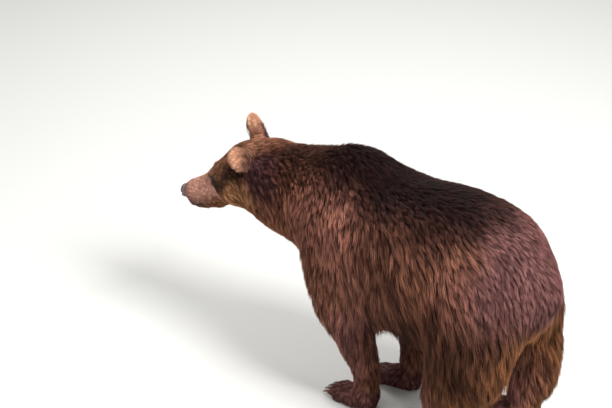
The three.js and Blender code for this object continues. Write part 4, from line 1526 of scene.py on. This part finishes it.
    def plant(self, tree: GeometryGraph, entry: Parts) -> Socket:
        """Adds the nodes that set the tufts' roots, and the middles of the locks that they belong to.

        Args:
            tree: The tree.
            entry: Its inputs.

        Returns:
            The roots, with their locks and their chances stored.
        """
        own = {2: tree.named("piece", "INT"), 3: entry["Piece"]}
        own = tree.node("FunctionNodeCompare", own, data_type="INT", operation="EQUAL")
        ground = {"Geometry": entry["Geometry"], "Selection": own}
        ground = tree.node("GeometryNodeSeparateGeometry", ground, domain="FACE")
        number, seed = tree.named("number"), entry["Seed"]
        points = tree.scatter(ground, number, seed)
        locks = tree.scatter(ground, tree.math("DIVIDE", number, entry["Tufts to a lock"]), tree.add(seed, 40))
        at = tree.node("GeometryNodeInputPosition")
        nearest = tree.node("GeometryNodeSampleNearest", {"Geometry": locks, "Sample Position": at})
        heart = {"Geometry": locks, "Value": at, "Index": nearest}
        heart = tree.node("GeometryNodeSampleIndex", heart, "Value", data_type="FLOAT_VECTOR")
        sway = tree.chance(-self.own_sway, self.own_sway, 9)
        sway = tree.add(sway, tree.chance(-self.lock_sway, self.lock_sway, 13, nearest))
        points = tree.store(points, "root", at, "FLOAT_VECTOR")
        points = tree.store(points, "heart", heart, "FLOAT_VECTOR")
        points = tree.store(points, "kin", tree.chance(0.0, 1.0, 3, nearest), "FLOAT")
        points = tree.store(points, "luck", tree.chance(0.0, 1.0, 5), "FLOAT")
        points = tree.store(points, "grow", tree.chance(0.72, 1.15, 7), "FLOAT")
        return tree.store(points, "sway", sway, "FLOAT")

    def bend(self, tree: GeometryGraph, entry: Parts, tufts: Socket) -> Socket:
        """Adds the nodes that bend each tuft over the skin.

        Args:
            tree: The tree.
            entry: Its inputs.
            tufts: The straight tufts.

        Returns:
            The tufts in place, with the directions for their shading stored.
        """
        add, less, times, both, scaled = tree.add, tree.less, tree.times, tree.both, tree.scaled
        root, out, heart, lie = (tree.named(name, "FLOAT_VECTOR") for name in ("root", "out", "heart", "lie"))
        along, across, thick, rise, wide = (tree.named(n) for n in ("along", "across", "thick", "rise", "wide"))
        # Each tuft runs along the lie from its root, and draws towards the middle of its lock.
        drift = tree.node("ShaderNodeTexNoise", {"Vector": root, "Scale": self.drift_scale, "Detail": 1.0})
        turn = add(times(less(drift, 0.5), self.drift), tree.named("sway"))
        turned = {"Vector": lie, "Axis": out, "Angle": turn}
        lie = tree.node("ShaderNodeVectorRotate", turned, rotation_type="AXIS_ANGLE")
        side = tree.vector("NORMALIZE", tree.vector("CROSS_PRODUCT", out, lie))
        long = times(tree.named("long"), tree.named("grow"))
        run = scaled(lie, times(long, along))
        apart = tree.vector("SUBTRACT", root, heart)
        near = tree.math("LESS_THAN", tree.vector("LENGTH", apart, out="Value"), self.lock_reach)
        apart = scaled(apart, near)
        pull = scaled(apart, times(tree.math("POWER", along, self.late), -self.pull))
        spot = both(both(root, run), pull)
        surface = {"Geometry": entry["Geometry"], "Sample Position": spot}
        close = tree.node("GeometryNodeProximity", surface, "Position", target_element="FACES")
        surface = {"Mesh": entry["Geometry"], "Value": out, "Sample Position": spot}
        above = tree.node("GeometryNodeSampleNearestSurface", surface, "Value", data_type="FLOAT_VECTOR")
        # A lock stands highest along its middle, and some locks and some tufts stand higher than others.
        breadth = tree.math("SQRT", tree.math("DIVIDE", entry["Tufts to a lock"], tree.named("number")))
        aside = tree.math("DIVIDE", tree.vector("DOT_PRODUCT", apart, side, out="Value"), breadth)
        back = less(1.0, along)
        lift = less(1.0, times(back, back))
        edge = less(1.0, times(times(aside, aside), self.falling))
        uneven = add(times(tree.named("kin"), self.lock_height), self.height)
        uneven = add(times(tree.named("luck"), self.own_height), uneven)
        height = times(times(rise, lift), times(edge, uneven))
        hugging, free = both(close, scaled(above, height)), both(spot, scaled(out, height))
        share = times(tree.named("loose"), along)
        mixed = {"Factor": share, "A": hugging, "B": free}
        place = tree.node("ShaderNodeMix", mixed, "Result", data_type="VECTOR")
        place = both(place, scaled(side, times(across, wide)))
        place = both(place, scaled(out, times(thick, wide)))
        # Long loose fur hangs.
        sag = times(times(share, along), times(long, -self.sag))
        place = both(place, tree.node("ShaderNodeCombineXYZ", {"Z": sag}))
        place = tree.vector("MAXIMUM", place, (-9.0, -9.0, 0.001))
        tufts = tree.node("GeometryNodeSetPosition", {"Geometry": tufts, "Position": place})
        lean = add(times(aside, self.lock_round), times(across, self.own_round))
        shown = both(both(above, scaled(side, lean)), scaled(lie, times(back, -self.foot_turn)))
        return tree.store(tufts, "shown", tree.vector("NORMALIZE", shown), "FLOAT_VECTOR")

    @staticmethod
    def smooth(mesh: bpy.types.Mesh) -> None:
        """Shades a piece of the coat by the directions that its tree has stored.

        Args:
            mesh: The piece's mesh.
        """
        shown = np.empty(len(mesh.vertices) * 3, np.float32)
        mesh.attributes["shown"].data.foreach_get("vector", shown)
        mesh.attributes.remove(mesh.attributes["shown"])
        mesh.shade_smooth()
        mesh.normals_split_custom_set_from_vertices(shown.reshape(-1, 3))

    def build(self, skin: bpy.types.Object, material: bpy.types.Material) -> list[bpy.types.Object]:
        """Grows all the pieces of the coat.

        Args:
            skin: The skin, with the coat's measures laid on it.
            material: The tufts' material.

        Returns:
            The pieces.
        """
        tree, tuft, pieces = self.tree(material), self.tuft(), []
        names = [f"coat_head_{side}" for side in SIDES]
        names += [f"coat_{side}_{number + 1}" for side in SIDES for number in range(self.slices)]
        values = {"Tuft": tuft, "Tufts to a lock": self.clump, "Patch": self.patch}
        for number, name in enumerate(names):
            piece = grown(name, skin, tree, {**values, "Piece": number, "Seed": 11 + number})
            self.smooth(piece.data)
            LOG.info("%s: %d faces", name, len(piece.data.polygons))
            pieces.append(piece)
        bpy.data.objects.remove(tuft)
        return pieces


# ---- Nose, eyes and claws ----


@dataclass
class Features:
    """The parts of the bear that no coat covers."""

    head: HeadFrame
    face: Face
    nodes: dict[str, bpy.types.Object]
    nose_middle: Spot = (0.380, 0.0, -0.027)
    nose_reach: float = 0.046
    nose_cell: float = 0.0012
    # The eggs of the nose, each by its middle and its half sizes.
    pad: tuple[Spot, Spot] = ((0.383, 0.0, -0.017), (0.018, 0.029, 0.020))
    wedge: tuple[Spot, Spot] = ((0.375, 0.0, -0.041), (0.017, 0.018, 0.021))
    wing: tuple[Spot, Spot] = ((0.379, 0.021, -0.026), (0.017, 0.012, 0.015))
    # The lines that are carved into it.
    comma: tuple[Spot, ...] = ((0.405, 0.009, -0.023), (0.399, 0.019, -0.027), (0.388, 0.032, -0.016))
    hole: tuple[Spot, ...] = ((0.402, 0.013, -0.024), (0.376, 0.014, -0.022))
    groove: tuple[Spot, ...] = ((0.405, 0.0, -0.027), (0.397, 0.0, -0.042), (0.390, 0.0, -0.062))
    # How far the eye's clear front stands out, as a share of its radius, and how wide it is (radians).
    bulge: float = 0.05
    bulge_wide: float = 0.6

    def nose_form(self, points: Points) -> Numbers:
        """Measures the nose: a broad top, side wings, comma nostrils and a groove down to the lip.

        Args:
            points: The places, one to a row.

        Returns:
            The distance of each from the nose.
        """
        spots = self.head.read(points)
        sided = np.stack([spots[:, 0], np.abs(spots[:, 1]), spots[:, 2]], axis=1)
        shape = meld(egg(spots, *self.pad), egg(spots, *self.wedge), 0.008)
        shape = meld(shape, egg(sided, *self.wing), 0.008)
        shape = carve(shape, cord_round(sided, self.comma, (0.0055, 0.0050, 0.0015)), 0.003)
        shape = carve(shape, cord_round(sided, self.hole, (0.0060, 0.0050)), 0.003)
        return carve(shape, cord_round(spots, self.groove, (0.0012, 0.0016, 0.0016)), 0.003)

    def nose(self) -> bpy.types.Object:
        """Makes the nose pad."""
        middle = self.head.place(*self.nose_middle)
        return drawn("nose_pad", Grid.filled(middle, self.nose_reach, self.nose_cell, self.nose_form))

    def eye(self, name: str, side: float) -> bpy.types.Object:
        """Makes an eyeball whose clear front stands out a little over the iris.

        Args:
            name: The eye's side in its name.
            side: 1 for the left eye, -1 for the right.

        Returns:
            The eyeball, with each point's angle from its front.
        """
        middle, axes = self.face.eye_frame(side)
        ball = bmesh.new()
        bmesh.ops.create_uvsphere(ball, u_segments=48, v_segments=32, radius=1.0)
        angles = []
        for vert in ball.verts:
            angle = math.acos(max(-1.0, min(1.0, vert.co.z)))
            bulge = self.bulge * math.exp(-((angle / self.bulge_wide) ** 2))
            reach = self.face.eye_radius * (1.0 + bulge)
            angles.append(angle)
            vert.co = Vector(middle + reach * (vert.co.z * axes[0] + vert.co.x * axes[1] + vert.co.y * axes[2]))
        mesh = bpy.data.meshes.new(f"eyeball_{name}")
        bmesh.ops.recalc_face_normals(ball, faces=ball.faces)
        ball.to_mesh(mesh)
        ball.free()
        mesh.shade_smooth()
        write(mesh, "angle", np.array(angles))
        return linked(mesh.name, mesh)

    def claws(self) -> bpy.types.Object:
        """Makes the claws.

        Returns:
            All of them, round and smooth, with a measure of how near each place is to its tip.
        """
        shape = bmesh.new()
        along: list[float] = []
        for name in Claw.names(self.nodes):
            one = bmesh.new()
            one.from_mesh(self.nodes[name].data)
            bmesh.ops.remove_doubles(one, verts=one.verts, dist=0.0002)
            places = np.array([v.co for v in one.verts])
            far = np.linalg.norm(places - Claw.tip_of(name, places)[1], axis=1)
            along += list(1.0 - far / far.max())
            mesh = bpy.data.meshes.new("one")
            one.to_mesh(mesh)
            one.free()
            shape.from_mesh(mesh)
            bpy.data.meshes.remove(mesh)
        mesh = bpy.data.meshes.new("claws")
        shape.to_mesh(mesh)
        shape.free()
        mesh.shade_smooth()
        write(mesh, "along", np.array(along))
        piece = linked("claws", mesh)
        rounder = piece.modifiers.new("round", "SUBSURF")
        rounder.levels = rounder.render_levels = 2
        apply_modifiers(piece)
        return piece


# ---- Finishes ----


class ShaderGraph(Graph):
    """A tree of shader nodes."""

    def read(self, name: str, out: str = "Fac") -> Socket:
        """Reads an attribute of the mesh."""
        return self.node("ShaderNodeAttribute", out=out, attribute_name=name)

    def where(self) -> Socket:
        """Returns the place on the object."""
        return self.node("ShaderNodeTexCoord", out="Object")

    def mix(self, share: object, first: object, second: object) -> Socket:
        """Mixes two colours."""
        values = {"Factor": share, "A": first, "B": second}
        return self.node("ShaderNodeMix", values, "Result", data_type="RGBA", blend_type="MIX")

    def noise(self, where: object, scale: float, detail: float = 2.0) -> Socket:
        """Returns a noise between 0 and 1."""
        return self.node("ShaderNodeTexNoise", {"Vector": where, "Scale": scale, "Detail": detail})

    def between(self, value: object, low: float, high: float) -> Socket:
        """Runs smoothly from 0 to 1 as a value goes from low to high."""
        values = {"Value": value, "From Min": low, "From Max": high}
        return self.node("ShaderNodeMapRange", values, "Result", interpolation_type="SMOOTHSTEP")

    def bump(self, height: Socket, strength: float, distance: float) -> Socket:
        """Turns heights into a normal."""
        return self.node("ShaderNodeBump", {"Height": height, "Strength": strength, "Distance": distance})


def colour(red: float, green: float, blue: float) -> tuple[float, float, float, float]:
    """Returns an opaque colour."""
    return (red, green, blue, 1.0)


@dataclass(frozen=True)
class Pelt:
    """The fur's colour, from a hair's foot to its tip, which the skin and the tufts share."""

    group: bpy.types.NodeTree

    @classmethod
    def made(cls) -> Pelt:
        """Builds the effect.

        Returns:
            The effect: few hairs are pale, and locks differ.
        """
        numbers = dict.fromkeys(("Along", "Kin", "Luck"), "NodeSocketFloat")
        colours = dict.fromkeys(("Foot", "Tip"), "NodeSocketColor")
        nodes = ShaderGraph.group(
            "pelt_colour", "ShaderNodeTree", {**colours, **numbers}, {"Colour": "NodeSocketColor"}
        )
        entry = nodes.entry()
        broad = nodes.between(nodes.noise(nodes.where(), 6.0, 3.0), 0.30, 0.70)
        strand = nodes.between(entry["Luck"], 0.45, 1.0)
        lock = nodes.between(entry["Kin"], 0.35, 1.0)
        share = nodes.add(nodes.times(strand, 0.60), nodes.times(lock, 0.50))
        share = nodes.times(share, nodes.add(nodes.times(broad, 0.6), 0.60))
        pale = nodes.math("MULTIPLY", entry["Along"], nodes.add(share, 0.10), clamp=True)
        mixed = nodes.mix(pale, entry["Foot"], entry["Tip"])
        return cls(nodes.end(nodes.scaled(mixed, nodes.add(nodes.times(entry["Kin"], 0.50), 0.74))))

    def placed(self, nodes: ShaderGraph, along: Socket, kin: Socket, luck: Socket) -> Socket:
        """Puts the effect in a material.

        Args:
            nodes: The material's nodes.
            along: How far along its hair each place is.
            kin: The chance of its lock.
            luck: The chance of its tuft.

        Returns:
            The colour.
        """
        node = nodes.tree.nodes.new("ShaderNodeGroup")
        node.node_tree = self.group
        values = {"Foot": nodes.read("foot", "Color"), "Tip": nodes.read("tip", "Color")}
        for label, value in {**values, "Along": along, "Kin": kin, "Luck": luck}.items():
            nodes.tree.links.new(value, node.inputs[label])
        return node.outputs["Colour"]


class Finish(ABC):
    """What every finish has: its material's name, and how rough and how shiny it is."""

    name: str
    rough: float
    shine: float

    @abstractmethod
    def paint(self, nodes: ShaderGraph) -> dict[str, object]:
        """Adds the finish's own nodes.

        Args:
            nodes: The material's nodes.

        Returns:
            The shader's inputs, by their names.
        """

    def material(self) -> bpy.types.Material:
        """Makes the material.

        Returns:
            The material.
        """
        material = bpy.data.materials.new(self.name)
        material.use_nodes = True
        nodes = ShaderGraph(material.node_tree)
        shader = material.node_tree.nodes["Principled BSDF"]
        plain = {"Roughness": self.rough, "Specular IOR Level": self.shine}
        for label, value in {**plain, **self.paint(nodes)}.items():
            nodes.give(shader.inputs[label], value)
        return material


@dataclass(frozen=True)
class Hide(Finish):
    """The skin: the coat's own colours, darkened as painted shade under the coat, with bare dark rims and lips.
    """

    pelt: Pelt
    name: str = "hide"
    rough: float = 0.80
    bare_smoother: float = 0.38
    shine: float = 0.2

    def paint(self, nodes: ShaderGraph) -> dict[str, object]:
        """Colours the skin by the coat's attributes, with a fine grain.

        Args:
            nodes: The material's nodes.

        Returns:
            The shader's inputs, by their names.
        """
        where = nodes.where()
        grain, bare = nodes.noise(where, 260.0, 3.0), nodes.read("bare")
        kin, luck = nodes.noise(where, 60.0), nodes.noise(where, 190.0)
        fur = self.pelt.placed(nodes, nodes.times(grain, 0.7), kin, luck)
        return {
            "Base Color": nodes.mix(bare, fur, colour(0.014, 0.008, 0.007)),
            "Roughness": nodes.less(self.rough, nodes.times(bare, self.bare_smoother)),
            "Normal": nodes.bump(grain, 0.5, 0.0012),
        }


@dataclass(frozen=True)
class Fur(Finish):
    """The tufts, dark at the foot and paler towards the tip: the hairs' own colour, with painted shade deep in
    the coat.
    """

    pelt: Pelt
    name: str = "fur"
    rough: float = 0.6
    shine: float = 0.07

    def paint(self, nodes: ShaderGraph) -> dict[str, object]:
        """Colours each tuft by its own attributes."""
        along = nodes.math("POWER", nodes.read("along"), 1.2)
        return {"Base Color": self.pelt.placed(nodes, along, nodes.read("kin"), nodes.read("luck"))}


@dataclass(frozen=True)
class NoseSkin(Finish):
    """The nose: pebbled, moist, grey with a purple cast."""

    name: str = "nose"
    rough: float = 0.42
    shine: float = 0.5

    def paint(self, nodes: ShaderGraph) -> dict[str, object]:
        """Lays pebbles over a cloudy colour.

        Args:
            nodes: The material's nodes.

        Returns:
            The shader's inputs, by their names.
        """
        where = nodes.where()
        pebbles = nodes.node("ShaderNodeTexVoronoi", {"Vector": where, "Scale": 900.0}, "Distance")
        cloud = nodes.noise(where, 45.0)
        base = nodes.mix(cloud, colour(0.085, 0.050, 0.056), colour(0.200, 0.125, 0.130))
        base = nodes.mix(nodes.between(pebbles, 0.35, 0.75), base, colour(0.045, 0.026, 0.028))
        return {"Base Color": base, "Normal": nodes.bump(pebbles, 0.55, -0.0008)}


@dataclass(frozen=True)
class EyeGlass(Finish):
    """The eye: a black pupil in a dark brown iris, darker towards the rim."""

    name: str = "eye"
    rough: float = 0.08
    shine: float = 0.25
    clear: float = 0.3
    clear_rough: float = 0.03

    def paint(self, nodes: ShaderGraph) -> dict[str, object]:
        """Colours the eye by the angle from its front, under a clear coat.

        Args:
            nodes: The material's nodes.

        Returns:
            The shader's inputs, by their names.
        """
        angle = nodes.read("angle")
        streak = nodes.noise(nodes.where(), 900.0)
        iris = nodes.mix(streak, colour(0.020, 0.008, 0.004), colour(0.060, 0.025, 0.010))
        base = nodes.mix(nodes.between(angle, 0.36, 0.42), colour(0.002, 0.002, 0.002), iris)
        base = nodes.mix(nodes.between(angle, 0.80, 0.92), base, colour(0.012, 0.008, 0.007))
        return {"Base Color": base, "Coat Weight": self.clear, "Coat Roughness": self.clear_rough}


@dataclass(frozen=True)
class Horn(Finish):
    """The claws: dark horn with streaks along it and paler tips."""

    name: str = "horn"
    rough: float = 0.36
    shine: float = 0.5

    def paint(self, nodes: ShaderGraph) -> dict[str, object]:
        """Colours each claw from its base to its tip.

        Args:
            nodes: The material's nodes.

        Returns:
            The shader's inputs, by their names.
        """
        along = nodes.read("along")
        streak = nodes.noise(nodes.where(), 320.0)
        reach = nodes.add(along, nodes.times(nodes.less(streak, 0.5), 0.25))
        near = nodes.between(reach, 0.25, 1.00)
        base = nodes.mix(near, colour(0.060, 0.030, 0.022), colour(0.42, 0.28, 0.19))
        return {"Base Color": base, "Normal": nodes.bump(streak, 0.25, 0.0006)}


@dataclass(frozen=True)
class Ground(Finish):
    """The floor: plain and pale."""

    name: str = "floor"
    rough: float = 0.9
    shine: float = 0.5

    def paint(self, nodes: ShaderGraph) -> dict[str, object]:
        """Gives the floor its one colour."""
        return {"Base Color": colour(0.62, 0.62, 0.60)}


# ---- The stage ----


def away(turn: float, rise: float) -> Vector:
    """Returns the direction at a turn from the bear's front and a rise above the floor, in degrees."""
    turn, rise = math.radians(turn), math.radians(rise)
    return Vector((math.sin(turn) * math.cos(rise), -math.cos(turn) * math.cos(rise), math.sin(rise)))


def aimed(name: str, data: bpy.types.ID, target: Spot, way: Vector, distance: float) -> bpy.types.Object:
    """Places a camera or a lamp.

    Args:
        name: Its name.
        data: Its data.
        target: The place that it looks at.
        way: The direction from there to it.
        distance: How far it is from there.

    Returns:
        The new object.
    """
    thing = linked(name, data)
    thing.location = Vector(target) + way * distance
    thing.rotation_euler = way.to_track_quat("Z", "Y").to_euler()
    return thing


@dataclass(frozen=True)
class Lamp:
    """A soft round lamp: its name, its turn and rise, its size and its power."""

    name: str
    turn: float
    rise: float
    size: float
    power: float
    target: Spot = (0.0, 0.0, 0.5)
    distance: float = 5.0

    def place(self) -> None:
        """Places the lamp."""
        data = bpy.data.lights.new(self.name, "AREA")
        data.shape, data.size, data.energy = "DISK", self.size, self.power
        aimed(self.name, data, self.target, away(self.turn, self.rise), self.distance)


@dataclass
class Stage:
    """The camera, the lights and the floor."""

    turn: float = 128.0
    rise: float = 28.0
    distance: float = 9.5
    lens: float = 139.7
    far: float = 100.0
    target: Spot = (0.0340, -0.2907, 0.7704)
    lamps: tuple[Lamp, ...] = (
        Lamp("key", 168.0, 52.0, 2.0, 420.0),
        Lamp("fill", 80.0, 35.0, 4.0, 90.0),
        Lamp("back", -50.0, 50.0, 3.0, 150.0),
    )
    sky: tuple[float, ...] = colour(1.0, 0.985, 0.96)
    sky_strength: float = 0.45
    floor_reach: float = 30.0

    def camera(self) -> None:
        """Places the camera."""
        data = bpy.data.cameras.new("camera")
        data.lens, data.clip_end = self.lens, self.far
        way = away(self.turn, self.rise)
        bpy.context.scene.camera = aimed("camera", data, self.target, way, self.distance)

    def floor(self) -> bpy.types.Object:
        """Makes the plain floor.

        Returns:
            The floor, at z = 0.
        """
        corners = np.array([(-1, -1, 0), (1, -1, 0), (1, 1, 0), (-1, 1, 0)]) * self.floor_reach
        mesh = bpy.data.meshes.new("floor")
        mesh.from_pydata(corners.tolist(), [], [(0, 1, 2, 3)])
        mesh.materials.append(Ground().material())
        return linked("floor", mesh)

    def set_up(self) -> None:
        """Places everything and tells the frame what is only stage."""
        scene = bpy.context.scene
        scene.view_settings.view_transform = "Standard"
        self.camera()
        for lamp in self.lamps:
            lamp.place()
        world = bpy.data.worlds.new("world")
        world.use_nodes = True
        background = world.node_tree.nodes["Background"]
        background.inputs["Color"].default_value = self.sky
        background.inputs["Strength"].default_value = self.sky_strength
        scene.world = world
        self.floor()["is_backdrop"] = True
        LOG.info("stage set")


# ---- The bear ----


def write_sizes(sizes: list[object]) -> None:
    """Turns the bear's bounds into plain lists."""
    [np.asarray(size).tolist() for size in sizes]


def main() -> None:
    """Builds the bear over its frame."""
    logging.basicConfig(level=logging.INFO, format="%(message)s")
    for thing in list(bpy.data.objects):
        bpy.data.objects.remove(thing)
    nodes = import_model()["nodes"]
    sizes = [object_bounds()]
    head, pelt = HeadFrame.from_nodes(), Pelt.made()
    ears, face = Ears(head), Face(head)
    coat = CoatMap(head, ears)
    shape = Skin(nodes, head, coat, face, ears)
    skin = shape.build()
    LOG.info("%s: %d faces", skin.name, len(skin.data.polygons))
    skin.data.materials.append(Hide(pelt).material())
    shape.unwrap(skin)
    LOG.info("skin unwrapped")
    fur = Coat(coat, shape)
    fur.lay(skin)
    tufts = fur.build(skin, Fur(pelt).material())
    features = Features(head, face, nodes)
    nose = features.nose()
    nose.data.materials.append(NoseSkin().material())
    claws = features.claws()
    claws.data.materials.append(Horn().material())
    eyes = {name: features.eye(name, side) for name, side in SIDES.items()}
    glass = EyeGlass().material()
    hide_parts(*flesh_names(nodes))
    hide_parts("nose")
    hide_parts(*Claw.names(nodes))
    for name, eye in eyes.items():
        eye.data.materials.append(glass)
        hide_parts(f"eye_{name}")
    for piece in tufts:
        "face_coat" if "head" in piece.name else "body_coat"
    nose.data.shade_smooth()
    for piece in (nose, claws, *eyes.values()):
        LOG.info("%s: %d faces", piece.name, len(piece.data.polygons))
    for piece in (skin, nose, claws, *eyes.values(), *tufts):
        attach(piece, BODY)
    Stage().set_up()
    sizes.append(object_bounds())
    write_sizes(sizes)


if __name__ == "__main__":
    main()
